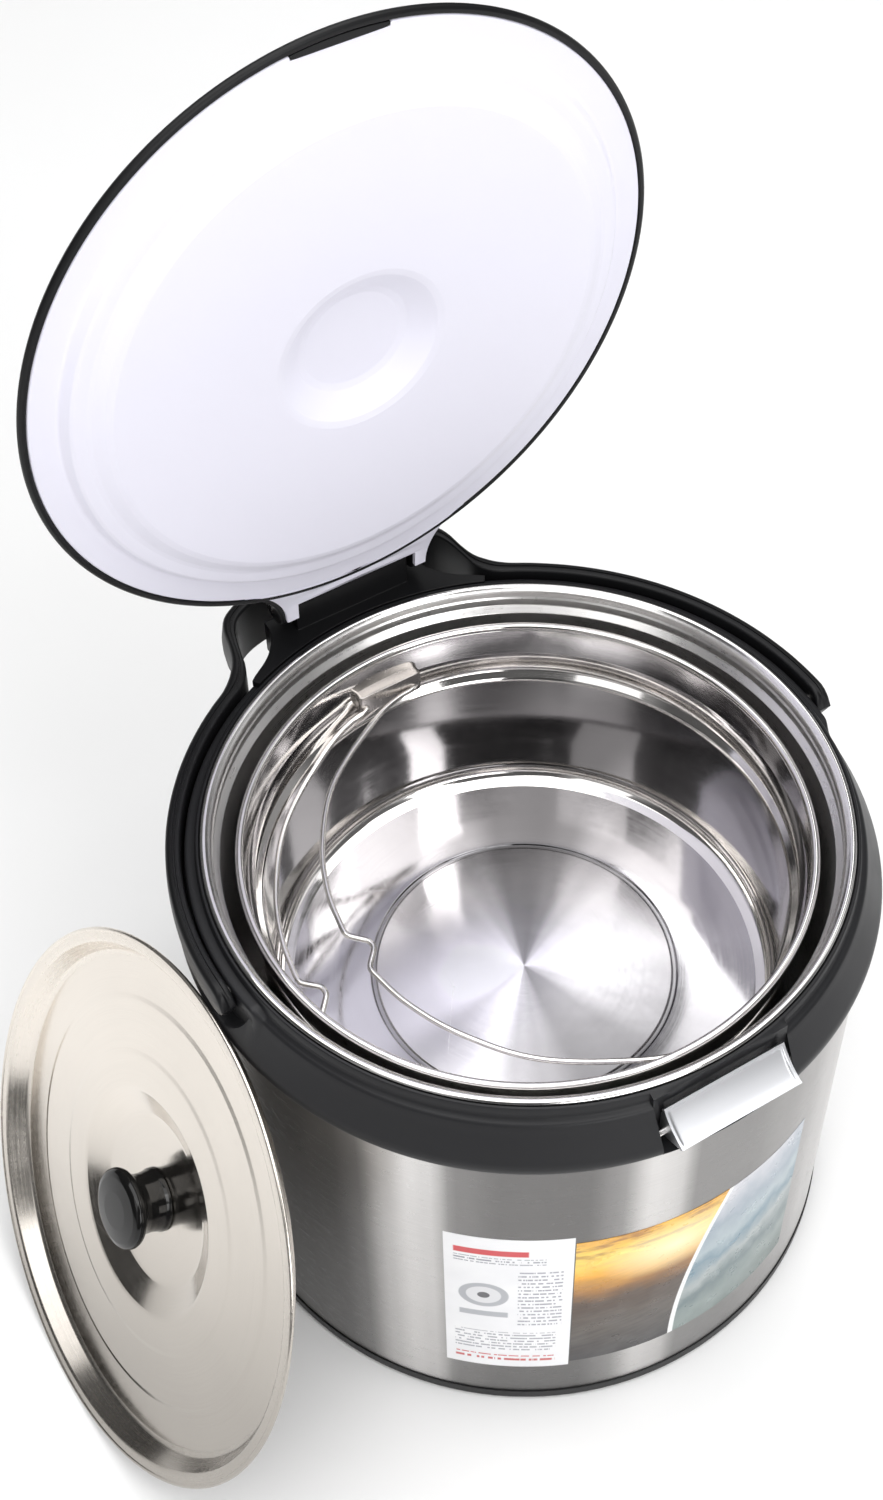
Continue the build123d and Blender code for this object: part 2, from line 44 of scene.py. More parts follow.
# =====================================================================
# camera, floor and light
# =====================================================================
def make_camera():
    cam = bpy.data.cameras.new("camera")
    cam.sensor_fit = "VERTICAL"
    cam.sensor_height = 36.0
    cam.lens = 36.0 * 2200.0 / 1500.0
    cam.clip_start, cam.clip_end = 0.02, 60.0
    ob = bpy.data.objects.new("camera", cam)
    right = Vector((0.85367, -0.52050, -0.01757))
    up = Vector((0.41035, 0.65147, 0.63812))
    back = Vector((-0.32069, -0.55195, 0.76974))
    m = Matrix.Identity(4)
    for i, v in enumerate((right.normalized(), up.normalized(), back.normalized())):
        for r in range(3):
            m[r][i] = v[r]
    m.translation = Vector((-0.29752, -0.44612, 0.92503))
    ob.matrix_world = m
    scene.collection.objects.link(ob)
    scene.camera = ob
    return ob


def area_light(name, loc, target, size, power, color=(1, 1, 1), size_y=None, spread=180):
    d = bpy.data.lights.new(name, "AREA")
    d.shape = "RECTANGLE"
    d.size = size
    d.size_y = size_y or size
    d.energy = power
    d.color = color
    d.spread = rad(spread)
    o = bpy.data.objects.new(name, d)
    o.location = loc
    z = (Vector(loc) - Vector(target)).normalized()
    o.rotation_euler = z.to_track_quat("Z", "Y").to_euler()
    scene.collection.objects.link(o)
    return o


def make_floor():
    me = bpy.data.meshes.new("floor")
    s = 9.0
    me.from_pydata([(-s, -s, 0), (s, -s, 0), (s, s, 0), (-s, s, 0)], [], [(0, 1, 2, 3)])
    o = bpy.data.objects.new("floor", me)
    o.location = (0, 0, -0.0002)
    scene.collection.objects.link(o)
    return o


make_camera()
floor = make_floor()


# =====================================================================
# mesh helpers; all profiles in millimetres, as (radius, height)
# =====================================================================
def add_mesh(name, verts, faces, mat, sharp=38.0, matrix=None):
    me = bpy.data.meshes.new(name)
    me.from_pydata(verts, [], faces)
    bm = bmesh.new()
    bm.from_mesh(me)
    bmesh.ops.remove_doubles(bm, verts=bm.verts, dist=1e-7)
    bmesh.ops.recalc_face_normals(bm, faces=bm.faces)
    bm.to_mesh(me)
    bm.free()
    for p in me.polygons:
        p.use_smooth = True
    me.set_sharp_from_angle(angle=rad(sharp))
    me.materials.append(mat)
    if matrix is not None:
        me.transform(matrix)
    ob = bpy.data.objects.new(name, me)
    scene.collection.objects.link(ob)
    return ob


def arc_round(poly, r, least=6.0):
    """Closed outline with its corners rounded; corners on the axis stay."""
    out = []
    n = len(poly)
    for i, (x, z) in enumerate(poly):
        if x < 1e-6:
            out.append((x, z))
            continue
        p, a, b = Vector((x, z)), Vector(poly[i - 1]), Vector(poly[(i + 1) % n])
        da, db = a - p, b - p
        la, lb = da.length, db.length
        if la < 1e-6 or lb < 1e-6:
            continue
        turn = math.pi - da.angle(db)
        if turn < rad(least):
            out.append((x, z))
            continue
        t = min(r * math.tan(turn / 2), 0.46 * la, 0.46 * lb)
        re = t / math.tan(turn / 2)
        c = p + (da / la + db / lb).normalized() * (re / math.cos(turn / 2))
        v0, v1 = p + da / la * t - c, p + db / lb * t - c
        k = max(2, int(round(turn / rad(16))))
        for j in range(k + 1):
            s = j / k
            v = (math.sin((1 - s) * turn) * v0 + math.sin(s * turn) * v1) / math.sin(turn)
            out.append((max(0.0, c.x + v.x), c.y + v.y))
    return out


def bead(r, z, a, n=20):
    return [(r + a * math.cos(2 * math.pi * i / n), z + a * math.sin(2 * math.pi * i / n))
            for i in range(n)]


def lathe_data(pts, segs=None):
    segs = segs or SEG
    verts, rings, faces = [], [], []
    for r, z in pts:
        if r < 1e-6:
            rings.append([len(verts)])
            verts.append((0.0, 0.0, z * MM))
        else:
            s = len(verts)
            for k in range(segs):
                a = 2 * math.pi * k / segs
                verts.append((r * math.cos(a) * MM, r * math.sin(a) * MM, z * MM))
            rings.append(list(range(s, s + segs)))
    n = len(pts)
    for i in range(n):
        A, B = rings[i], rings[(i + 1) % n]
        if len(A) == 1 and len(B) == 1:
            continue
        for k in range(segs):
            q = (k + 1) % segs
            if len(A) == 1:
                faces.append((A[0], B[k], B[q]))
            elif len(B) == 1:
                faces.append((A[k], B[0], A[q]))
            else:
                faces.append((A[k], B[k], B[q], A[q]))
    return verts, faces


def merge(*parts):
    verts, faces = [], []
    for v, f in parts:
        s = len(verts)
        verts += list(v)
        faces += [tuple(i + s for i in q) for q in f]
    return verts, faces


def loft(rings, closed_ring=True, caps=True):
    """Skin over equal-length rings of points, metres."""
    verts, faces = [], []
    m = len(rings[0])
    for ring in rings:
        verts += [tuple(p) for p in ring]
    for i in range(len(rings) - 1):
        for k in range(m if closed_ring else m - 1):
            q = (k + 1) % m
            faces.append((i * m + k, i * m + q, (i + 1) * m + q, (i + 1) * m + k))
    if caps:
        faces.append(tuple(range(m)))
        faces.append(tuple((len(rings) - 1) * m + k for k in reversed(range(m))))
    return verts, faces


def catmull(pts, per=6):
    """Smooth curve through points of any dimension."""
    P = [Vector(p) for p in pts]
    out = []
    for i in range(len(P) - 1):
        p0 = P[i - 1] if i > 0 else P[0] * 2 - P[1]
        p1, p2 = P[i], P[i + 1]
        p3 = P[i + 2] if i + 2 < len(P) else P[-1] * 2 - P[-2]
        for j in range(per):
            t = j / per
            out.append(0.5 * ((2 * p1) + (p2 - p0) * t + (2 * p0 - 5 * p1 + 4 * p2 - p3) * t * t
                              + (3 * p1 - p0 - 3 * p2 + p3) * t ** 3))
    out.append(P[-1])
    return out


def resample(pts, n):
    d = [0.0]
    for a, b in zip(pts, pts[1:]):
        d.append(d[-1] + (b - a).length)
    out, j = [], 0
    for i in range(n):
        s = d[-1] * i / (n - 1)
        while j < len(d) - 2 and d[j + 1] < s:
            j += 1
        t = (s - d[j]) / max(1e-9, d[j + 1] - d[j])
        out.append(pts[j].lerp(pts[j + 1], min(1.0, t)))
    return out


def interp(x, table):
    """Smooth-ended table look-up."""
    if x <= table[0][0]:
        return table[0][1]
    for (a, va), (b, vb) in zip(table, table[1:]):
        if x <= b:
            return va + (vb - va) * (x - a) / (b - a)
    return table[-1][1]


def tube(path, r, n=12):
    """Round wire along points, metres; rings keep their twist low."""
    rings = []
    up = None
    for i, p in enumerate(path):
        t = (path[min(i + 1, len(path) - 1)] - path[max(i - 1, 0)]).normalized()
        if up is None:
            up = t.orthogonal().normalized()
        up = (up - t * up.dot(t)).normalized()
        side = t.cross(up)
        rings.append([p + (up * math.cos(2 * math.pi * k / n) + side * math.sin(2 * math.pi * k / n)) * r
                      for k in range(n)])
    return loft(rings)


def prism_x(pts, x0, x1):
    """Y-Z outline carried along X, millimetres."""
    a = [Vector((x0, y, z)) * MM for y, z in pts]
    b = [Vector((x1, y, z)) * MM for y, z in pts]
    return loft([a, b])


# =====================================================================
# node material helpers
# =====================================================================
class Mat:
    """Thin wrapper to build a material's node tree."""

    def __init__(self, name):
        self.m = bpy.data.materials.new(name)
        self.m.use_nodes = True
        self.t = self.m.node_tree
        self.t.nodes.clear()
        self.out = self.t.nodes.new("ShaderNodeOutputMaterial")
        self.p = self.t.nodes.new("ShaderNodeBsdfPrincipled")
        self.t.links.new(self.p.outputs[0], self.out.inputs[0])

    def n(self, kind, **kw):
        nd = self.t.nodes.new("ShaderNode" + kind)
        for k, v in kw.items():
            setattr(nd, k, v)
        return nd

    def link(self, a, b):
        self.t.links.new(a, b)

    def put(self, node, key, value):
        s = node.inputs[key]
        if isinstance(value, bpy.types.NodeSocket):
            self.t.links.new(value, s)
        else:
            s.default_value = value

    def math(self, op, a, b=None, c=None, clamp=False):
        nd = self.n("Math", operation=op, use_clamp=clamp)
        self.put(nd, 0, a)
        if b is not None:
            self.put(nd, 1, b)
        if c is not None:
            self.put(nd, 2, c)
        return nd.outputs[0]

    def coord(self, kind="Object"):
        return self.n("TexCoord").outputs[kind]

    def xyz(self, vec):
        s = self.n("SeparateXYZ")
        self.link(vec, s.inputs[0])
        return s.outputs[0], s.outputs[1], s.outputs[2]

    def vec(self, x, y, z):
        c = self.n("CombineXYZ")
        self.put(c, 0, x)
        self.put(c, 1, y)
        self.put(c, 2, z)
        return c.outputs[0]

    def noise(self, vec, scale, detail=2.0, rough=0.5, distort=0.0):
        nd = self.n("TexNoise")
        self.link(vec, nd.inputs["Vector"])
        nd.inputs["Scale"].default_value = scale
        nd.inputs["Detail"].default_value = detail
        nd.inputs["Roughness"].default_value = rough
        nd.inputs["Distortion"].default_value = distort
        return nd.outputs[0]

    def ramp(self, fac, stops, interp="LINEAR"):
        nd = self.n("ValToRGB")
        self.link(fac, nd.inputs[0])
        fill_ramp(nd.color_ramp, stops, interp)
        return nd.outputs[0]

    def remap(self, v, a, b, c, d, clamp=True):
        nd = self.n("MapRange", clamp=clamp)
        self.put(nd, 0, v)
        for i, x in zip((1, 2, 3, 4), (a, b, c, d)):
            nd.inputs[i].default_value = x
        return nd.outputs[0]

    def mix(self, fac, a, b, blend="MIX"):
        nd = self.n("Mix", data_type="RGBA", blend_type=blend)
        self.put(nd, 0, fac)
        for i, v in ((6, a), (7, b)):
            if isinstance(v, bpy.types.NodeSocket):
                self.link(v, nd.inputs[i])
            else:
                nd.inputs[i].default_value = col4(v)
        return nd.outputs[2]

    def bump(self, height, strength, distance, normal=None):
        nd = self.n("Bump")
        nd.inputs["Strength"].default_value = strength
        nd.inputs["Distance"].default_value = distance
        self.link(height, nd.inputs["Height"])
        if normal is not None:
            self.link(normal, nd.inputs["Normal"])
        return nd.outputs[0]

    def polar(self, oc):
        """radius, angle in turns 0..1, height"""
        x, y, z = self.xyz(oc)
        rr = self.math("SQRT", self.math("ADD", self.math("MULTIPLY", x, x), self.math("MULTIPLY", y, y)))
        ang = self.math("ARCTAN2", y, x)
        turn = self.math("FRACT", self.math("ADD", self.math("DIVIDE", ang, 2 * math.pi), 1.0))
        return rr, ang, turn, z


def fill_ramp(cr, stops, interp="LINEAR"):
    cr.interpolation = interp
    while len(cr.elements) > 1:
        cr.elements.remove(cr.elements[-1])
    cr.elements[0].position = stops[0][0]
    cr.elements[0].color = col4(stops[0][1])
    for p, c in stops[1:]:
        e = cr.elements.new(p)
        e.color = col4(c)


def col4(c):
    if isinstance(c, (int, float)):
        return (c, c, c, 1.0)
    return tuple(c) if len(c) == 4 else (*c, 1.0)


def metal(name, base, rough, aniso=0.0, brush=None, brush_strength=0.0, smudge=0.04,
          tint=None, rough_var=0.04, scratch=True, bands=None, band_wobble=0.0, line_tone=0.06, tilt=None,
          outer=None, slope=None, rings=None):
    """Steel. brush: "ring" fine circular lines on flat faces, "tube" fine lines round a tube.
    bands: painted reflection bands, tone over the turn round the axis, as (turn, tone) stops.
    tilt: place and turn of a piece whose axis is not upright.
    outer: radius past which the roughness changes, and by how much. slope: painted reflection, tone across the piece,
    from side to side.
    rings: painted reflection and painted shade, tone over the radius, as (metres, tone) stops."""
    m = Mat(name)
    p = m.p
    p.inputs["Metallic"].default_value = 1.0
    oc = m.coord()
    if tilt:
        mp = m.n("Mapping", vector_type="TEXTURE")
        m.link(oc, mp.inputs[0])
        mp.inputs["Location"].default_value = tilt[0]
        mp.inputs["Rotation"].default_value = tilt[1]
        oc = mp.outputs[0]
    rr, ang, turn, z = m.polar(oc)
    lx, ly, _ = m.xyz(oc)
    x_ = m.math("ADD", lx, m.math("MULTIPLY", ly, 0.8))
    big = m.noise(oc, 9.0, 3.0, 0.55)
    fine = m.noise(oc, 260.0, 2.0, 0.6)
    tone = m.remap(big, 0.3, 0.7, 0.0, 1.0)
    colour = m.mix(tone, tuple(c * 0.93 for c in base), base)
    if tint:
        w = m.remap(m.noise(oc, 5.0, 2.0, 0.5), 0.42, 0.68, 0.0, 0.5)
        colour = m.mix(w, colour, tint)
    # painted reflection: tone bands over the turn round the axis
    if bands:
        t = turn
        if band_wobble:
            t = m.math("ADD", turn, m.math("MULTIPLY", m.math("SUBTRACT", m.noise(oc, 6.0, 1.0, 0.4), 0.5),
                                           band_wobble))
        colour = m.mix(1.0, colour, m.ramp(t, bands, "EASE"), "MULTIPLY")
    # painted reflection and painted shade: tone over the radius
    if rings:
        colour = m.mix(1.0, colour, m.ramp(m.math("DIVIDE", rr, 0.2), [(a / 0.2, c) for a, c in rings]), "MULTIPLY")
    # painted reflection: one side of the piece lighter than the other
    if slope:
        grey = m.ramp(m.remap(x_, slope[0], slope[1], 0.0, 1.0), [(0.0, slope[2]), (1.0, slope[3])], "EASE")
        colour = m.mix(1.0, colour, grey, "MULTIPLY")
    r0 = m.remap(fine, 0.3, 0.7, rough - rough_var * 0.5, rough + rough_var * 0.5)
    r1 = m.remap(m.noise(oc, 22.0, 4.0, 0.6), 0.45, 0.75, 0.0, smudge)
    rsum = m.math("ADD", r0, r1, clamp=True)
    if outer:
        rsum = m.math("ADD", rsum, m.remap(rr, outer[0] - 0.0004, outer[0] + 0.0004, 0.0, outer[1]), clamp=True)
    normal = None
    if brush:
        ca, sa = m.math("COSINE", ang), m.math("SINE", ang)
        if brush == "ring":
            v = m.vec(m.math("MULTIPLY", rr, 2600.0), m.math("MULTIPLY", ca, 1.1), m.math("MULTIPLY", sa, 1.1))
        else:
            v = m.vec(m.math("MULTIPLY", z, 3200.0), m.math("MULTIPLY", ca, 2.6), m.math("MULTIPLY", sa, 2.6))
        lines = m.noise(v, 1.0, 3.0, 0.65)
        normal = m.bump(lines, brush_strength, 0.00004)
        rsum = m.math("ADD", rsum, m.remap(lines, 0.35, 0.65, -0.03, 0.03), clamp=True)
        colour = m.mix(1.0, colour, m.ramp(lines, [(0.3, 1.0 - line_tone), (0.7, 1.0)]), "MULTIPLY")
    if scratch:
        sc = m.n("TexVoronoi", feature="DISTANCE_TO_EDGE")
        st = m.n("Mapping")
        m.link(oc, st.inputs[0])
        st.inputs["Scale"].default_value = (1.0, 0.25, 0.6)
        st.inputs["Rotation"].default_value = (0.4, 0.2, 0.9)
        m.link(st.outputs[0], sc.inputs["Vector"])
        sc.inputs["Scale"].default_value = 55.0
        line = m.remap(sc.outputs[0], 0.0, 0.006, 1.0, 0.0)
        gate = m.remap(m.noise(oc, 16.0, 2.0, 0.5), 0.56, 0.62, 0.0, 1.0)
        rsum = m.math("ADD", rsum, m.math("MULTIPLY", m.math("MULTIPLY", line, gate), 0.08), clamp=True)
    m.link(colour, p.inputs["Base Color"])
    m.link(rsum, p.inputs["Roughness"])
    if normal is not None:
        m.link(normal, p.inputs["Normal"])
    if aniso:
        p.inputs["Anisotropic"].default_value = aniso
        p.inputs["Anisotropic Rotation"].default_value = 0.25
        if tilt:
            x, y, _ = m.xyz(oc)
            vr = m.n("VectorRotate", rotation_type="EULER_XYZ")
            m.link(m.vec(m.math("MULTIPLY", y, -1.0), x, 0.0), vr.inputs["Vector"])
            vr.inputs["Rotation"].default_value = tilt[1]
            m.link(vr.outputs[0], p.inputs["Tangent"])
        else:
            tg = m.n("Tangent", direction_type="RADIAL", axis="Z")
            m.link(tg.outputs[0], p.inputs["Tangent"])
    return m.m


def plastic(name, base, rough, grain=0.25, grain_scale=1400.0, spec=0.5, coat=0.0, wear=0.02,
            dust=(0.35, 0.34, 0.33), var=0.12, edge=0.0):
    m = Mat(name)
    p = m.p
    oc = m.coord()
    big = m.noise(oc, 7.0, 3.0, 0.55)
    lo = tuple(c * (1 - var) for c in base)
    hi = tuple(min(1.0, c * (1 + var)) for c in base)
    colour = m.mix(m.remap(big, 0.3, 0.7, 0.0, 1.0), lo, hi)
    if wear:
        fleck = m.remap(m.noise(oc, 900.0, 2.0, 0.6), 0.70, 0.80, 0.0, wear)
        colour = m.mix(fleck, colour, dust)
    m.link(colour, p.inputs["Base Color"])
    fine = m.noise(oc, grain_scale, 2.0, 0.6)
    p.inputs["Specular IOR Level"].default_value = spec
    r = m.remap(m.noise(oc, 30.0, 3.0, 0.6), 0.3, 0.75, rough - 0.04, rough + 0.05)
    m.link(r, p.inputs["Roughness"])
    if coat:
        p.inputs["Coat Weight"].default_value = coat
        p.inputs["Coat Roughness"].default_value = 0.06
    normal = None
    if edge:
        bv = m.n("Bevel", samples=4)
        bv.inputs["Radius"].default_value = edge
        normal = bv.outputs[0]
    if grain:
        normal = m.bump(fine, grain, 0.00005, normal)
    if normal is not None:
        m.link(normal, p.inputs["Normal"])
    return m.m


def use(node, mat):
    o = nodes[node]
    o.data.materials.clear()
    o.data.materials.append(mat)


# ---------------------------------------------------------------- label film
def label_text():
    """Pale panel with generic blocks: a red bar, rows of short dashes, a plain round motif."""
    m = Mat("label_pale")
    p = m.p
    oc = m.coord()
    rr, ang, turn, z = m.polar(oc)
    u = m.math("MULTIPLY", m.math("SUBTRACT", turn, (360 - 136.0) / 360), 360.0 * 2.419)   # mm along the tube
    v = m.math("SUBTRACT", m.math("MULTIPLY", z, 1000.0), 33.0)

    def box(u0, u1, v0, v1, soft=0.25):
        a = m.math("MULTIPLY", m.remap(u, u0 - soft, u0 + soft, 0, 1), m.remap(u, u1 - soft, u1 + soft, 1, 0))
        b = m.math("MULTIPLY", m.remap(v, v0 - soft, v0 + soft, 0, 1), m.remap(v, v1 - soft, v1 + soft, 1, 0))
        return m.math("MULTIPLY", a, b)

    def dashes(pitch, fill, size, seed):
        row = m.math("FLOOR", m.math("DIVIDE", v, pitch))
        inrow = m.math("LESS_THAN", m.math("FRACT", m.math("DIVIDE", v, pitch)), fill)
        w = m.noise(m.vec(m.math("DIVIDE", u, size), m.math("MULTIPLY", row, 7.31), seed), 1.0, 1.0, 0.5)
        return m.math("MULTIPLY", inrow, m.remap(w, 0.44, 0.47, 0, 1))

    paper = m.mix(m.remap(m.noise(oc, 40.0, 3.0, 0.6), 0.3, 0.7, 0, 1), (0.83, 0.83, 0.85), (0.90, 0.90, 0.91))
    c = paper
    c = m.mix(box(4, 34, 101, 105.5), c, (0.62, 0.05, 0.06))
    c = m.mix(m.math("MULTIPLY", box(4, 41, 94, 99), dashes(2.4, 0.5, 1.1, 3.1)), c, (0.30, 0.30, 0.34))
    c = m.mix(m.math("MULTIPLY", box(30, 48, 40, 88), dashes(3.1, 0.42, 1.0, 9.7)), c, (0.35, 0.35, 0.40))
    # plain motif: a ring with a bar under it
    du = m.math("SUBTRACT", u, 16.0)
    dv = m.math("SUBTRACT", v, 66.0)
    d = m.math("SQRT", m.math("ADD", m.math("MULTIPLY", du, du), m.math("MULTIPLY", dv, dv)))
    c = m.mix(m.remap(d, 10.0, 10.5, 1, 0), c, (0.42, 0.43, 0.46))
    c = m.mix(m.remap(d, 7.0, 7.4, 1, 0), c, (0.72, 0.72, 0.74))
    c = m.mix(m.remap(d, 2.4, 2.7, 1, 0), c, (0.10, 0.10, 0.11))
    c = m.mix(box(6, 26, 47, 51.5), c, (0.42, 0.43, 0.46))
    c = m.mix(m.math("MULTIPLY", box(4, 46, 16, 33), dashes(2.7, 0.45, 1.2, 5.5)), c, (0.36, 0.36, 0.40))
    c = m.mix(m.math("MULTIPLY", box(4, 46, 6, 11), dashes(5.0, 0.6, 1.6, 1.9)), c, (0.55, 0.10, 0.10))
    m.link(c, p.inputs["Base Color"])
    m.link(m.remap(m.noise(oc, 120.0, 2.0, 0.5), 0.3, 0.7, 0.30, 0.38), p.inputs["Roughness"])
    m.link(m.bump(m.noise(oc, 700.0, 2.0, 0.5), 0.05, 0.00003), p.inputs["Normal"])
    return m.m


def label_picture():
    """Abstract print: a warm field and a cool field, parted by a white sweep."""
    m = Mat("label_print")
    p = m.p
    oc = m.coord()
    rr, ang, turn, z = m.polar(oc)
    u = m.math("MULTIPLY", m.math("SUBTRACT", turn, (360 - 114.3) / 360), 360.0 * 2.419)   # 0..112
    v = m.math("SUBTRACT", m.math("MULTIPLY", z, 1000.0), 36.0)                              # 0..107
    n1 = m.noise(m.vec(m.math("DIVIDE", u, 30.0), m.math("DIVIDE", v, 11.0), 2.0), 1.0, 4.0, 0.6)
    # warm field
    vv = m.math("ADD", v, m.math("MULTIPLY", m.math("SUBTRACT", n1, 0.5), 16.0))
    warm = m.ramp(m.math("DIVIDE", vv, 107.0),
                  [(0.0, (0.030, 0.028, 0.030)), (0.28, (0.085, 0.070, 0.058)), (0.50, (0.075, 0.045, 0.028)),
                   (0.60, (0.34, 0.15, 0.025)), (0.72, (0.88, 0.42, 0.03)), (0.86, (1.0, 0.72, 0.14)),
                   (1.0, (0.80, 0.42, 0.06))])
    gu = m.math("DIVIDE", m.math("SUBTRACT", u, 42.0), 26.0)
    gv = m.math("DIVIDE", m.math("SUBTRACT", v, 84.0), 16.0)
    streak = m.noise(m.vec(m.math("ADD", m.math("DIVIDE", u, 26.0), m.math("DIVIDE", v, 9.0)),
                           m.math("SUBTRACT", m.math("DIVIDE", v, 2.6), m.math("DIVIDE", u, 9.0)), 4.0), 1.0, 4.0, 0.6)
    warm = m.mix(m.remap(v, 30.0, 62.0, 0.8, 0.25), warm,
                 m.mix(1.0, warm, m.ramp(streak, [(0.35, 0.62), (0.6, 1.25)]), "MULTIPLY"))
    cloud = m.noise(m.vec(m.math("DIVIDE", u, 16.0), m.math("DIVIDE", v, 4.2), 11.0), 1.0, 4.0, 0.6)
    warm = m.mix(m.math("MULTIPLY", m.remap(cloud, 0.46, 0.62, 0.0, 0.75), m.remap(v, 84.0, 96.0, 0.0, 1.0)),
                 warm, (0.30, 0.11, 0.03))
    glow = m.remap(m.math("SQRT", m.math("ADD", m.math("MULTIPLY", gu, gu), m.math("MULTIPLY", gv, gv))),
                   0.0, 1.3, 0.9, 0.0)
    warm = m.mix(glow, warm, (1.0, 0.93, 0.62))
    # cool field: soft slanting bands
    n2 = m.noise(m.vec(m.math("DIVIDE", u, 14.0), m.math("DIVIDE", v, 24.0), 7.0), 1.0, 4.0, 0.6)
    cv = m.math("ADD", m.math("ADD", v, m.math("MULTIPLY", u, -0.28)),
                m.math("MULTIPLY", m.math("SUBTRACT", n2, 0.5), 34.0))
    cool = m.ramp(m.math("DIVIDE", m.math("ADD", cv, 30.0), 115.0),
                  [(0.0, (0.10, 0.14, 0.13)), (0.22, (0.24, 0.29, 0.28)), (0.34, (0.13, 0.18, 0.19)),
                   (0.46, (0.38, 0.42, 0.42)), (0.56, (0.16, 0.25, 0.31)), (0.66, (0.40, 0.47, 0.50)),
                   (0.78, (0.30, 0.36, 0.42)), (1.0, (0.62, 0.62, 0.66))])
    # white sweep
    t = m.math("DIVIDE", v, 107.0)
    line = m.math("ADD", 46.0, m.math("MULTIPLY", m.math("MULTIPLY", t, t), 22.0))
    off = m.math("SUBTRACT", u, line)
    c = m.mix(m.remap(off, -0.3, 0.3, 0, 1), warm, cool)
    c = m.mix(m.math("MULTIPLY", m.remap(off, -1.9, -1.5, 0, 1), m.remap(off, 0.5, 0.9, 1, 0)), c, (0.86, 0.86, 0.86))
    c = m.mix(m.remap(m.noise(oc, 90.0, 2.0, 0.5), 0.35, 0.65, 0.0, 0.05), c, (0.5, 0.5, 0.5))
    m.link(c, p.inputs["Base Color"])
    p.inputs["Specular IOR Level"].default_value = 0.35
    m.link(m.remap(m.noise(oc, 120.0, 2.0, 0.5), 0.3, 0.7, 0.26, 0.34), p.inputs["Roughness"])
    m.link(m.bump(m.noise(oc, 160.0, 2.0, 0.5), 0.04, 0.00003), p.inputs["Normal"])
    return m.m


# =====================================================================
# materials
# =====================================================================
def az(a):
    return (a % 360.0) / 360.0


# painted reflection: tone bands round the tube stand in for reflected surroundings and stay fixed on the surface
tube_painted_reflection_bands = sorted([(az(a), c) for a, c in (
    (0, 0.80), (25, 0.55), (50, 0.80), (75, 0.50), (95, 0.75), (120, 0.52), (150, 0.70), (175, 0.42),
    (192, 0.30), (204, 0.32), (209, 0.46), (214, 1.10), (218, 1.32), (222, 1.12), (226, 0.42),
    (234, 0.31), (247, 0.29), (252, 0.46), (258, 1.12), (262, 1.02), (266, 0.47), (276, 0.46),
    (285, 0.58), (292, 0.70), (300, 0.92), (310, 1.08), (335, 1.0), (359.9, 0.80))])
# painted reflection: bright and dark wedges round the pot floor stand in for its reflections
floor_painted_reflection_bands = sorted([(az(a), c) for a, c in (
    (0, 0.98), (14, 0.92), (29, 0.62), (42, 0.32), (52, 0.26), (66, 0.30), (80, 0.62), (94, 0.90), (112, 1.0), (135, 1.3),
    (160, 1.45), (178, 1.35), (194, 0.88), (206, 1.0), (218, 1.15), (234, 0.55), (246, 0.42),
    (262, 0.26), (285, 0.28), (305, 0.48), (322, 0.72), (340, 0.98), (359.9, 0.98))])

# brushed steel tube whose colour carries painted reflection bands
steel_shell = metal("steel_brushed_tube_painted_reflection", (0.63, 0.615, 0.605), 0.30, aniso=0.8, brush="tube",
                    brush_strength=0.30, smudge=0.03, bands=tube_painted_reflection_bands, line_tone=0.10)
steel_bright = metal("steel_polished", (0.78, 0.765, 0.75), 0.07, smudge=0.04)
steel_pot = metal("steel_pot_wall", (0.74, 0.72, 0.705), 0.075, smudge=0.04, aniso=0.35, brush="tube",
                  brush_strength=0.05, line_tone=0.03)
# pot floor colour: painted reflection wedges, a painted reflection brighter at the centre, and painted shade in the
# groove ring at 64-66 mm
steel_floor = metal("steel_pot_floor_painted_reflection_and_shade", (0.67, 0.655, 0.68), 0.21, aniso=0.7, brush="ring",
                    brush_strength=0.08, smudge=0.02, bands=floor_painted_reflection_bands, band_wobble=0.01, line_tone=0.05,
                    outer=(0.0655, -0.12),
                    rings=((0.0, 1.75), (0.018, 1.62), (0.042, 1.0), (0.0632, 0.85), (0.0640, 0.48), (0.0660, 0.48),
                           (0.0668, 0.80), (0.0960, 0.80)))
steel_vessel = metal("steel_vessel_wall", (0.78, 0.765, 0.755), 0.30, smudge=0.03, aniso=0.5, brush="tube",
                     brush_strength=0.06, line_tone=0.04, outer=(0.1268, -0.20))
# pot lid steel with a painted reflection, lighter toward one side
steel_lid = metal("steel_pot_lid_painted_reflection", (0.68, 0.635, 0.58), 0.15, aniso=0.55, brush="ring",
                  brush_strength=0.10, smudge=0.05, slope=(-0.12, 0.10, 0.58, 1.28), outer=(0.1035, 0.10), tilt=((-0.19185, 0.0, 0.1062), (0.0, rad(-65.5), 0.0)))
steel_wire = metal("steel_wire", (0.74, 0.72, 0.70), 0.14, smudge=0.05)
steel_ear = metal("steel_ear", (0.42, 0.395, 0.375), 0.26, smudge=0.06)
black_collar = plastic("black_satin", (0.0135, 0.0135, 0.0150), 0.40, spec=0.25)
black_cad = plastic("black_satin_edge", (0.007, 0.007, 0.0078), 0.40, edge=0.0007, spec=0.22)
black_handle = plastic("black_satin_handle", (0.0065, 0.0065, 0.0072), 0.40, spec=0.22)
black_gloss = plastic("black_gloss_knob", (0.006, 0.006, 0.006), 0.12, grain=0.0, coat=0.2, wear=0.0, spec=0.22)
white_liner = plastic("white_liner", (0.80, 0.79, 0.885), 0.42, grain=0.06, wear=0.0, var=0.008, spec=0.30)
silver = metal("silver_latch", (0.56, 0.565, 0.585), 0.38, smudge=0.0, rough_var=0.01, scratch=False)
rubber = plastic("rubber_ring", (0.02, 0.02, 0.02), 0.75, grain=0.4)
foam = plastic("foam", (0.75, 0.68, 0.45), 0.9, grain=0.5, grain_scale=300)

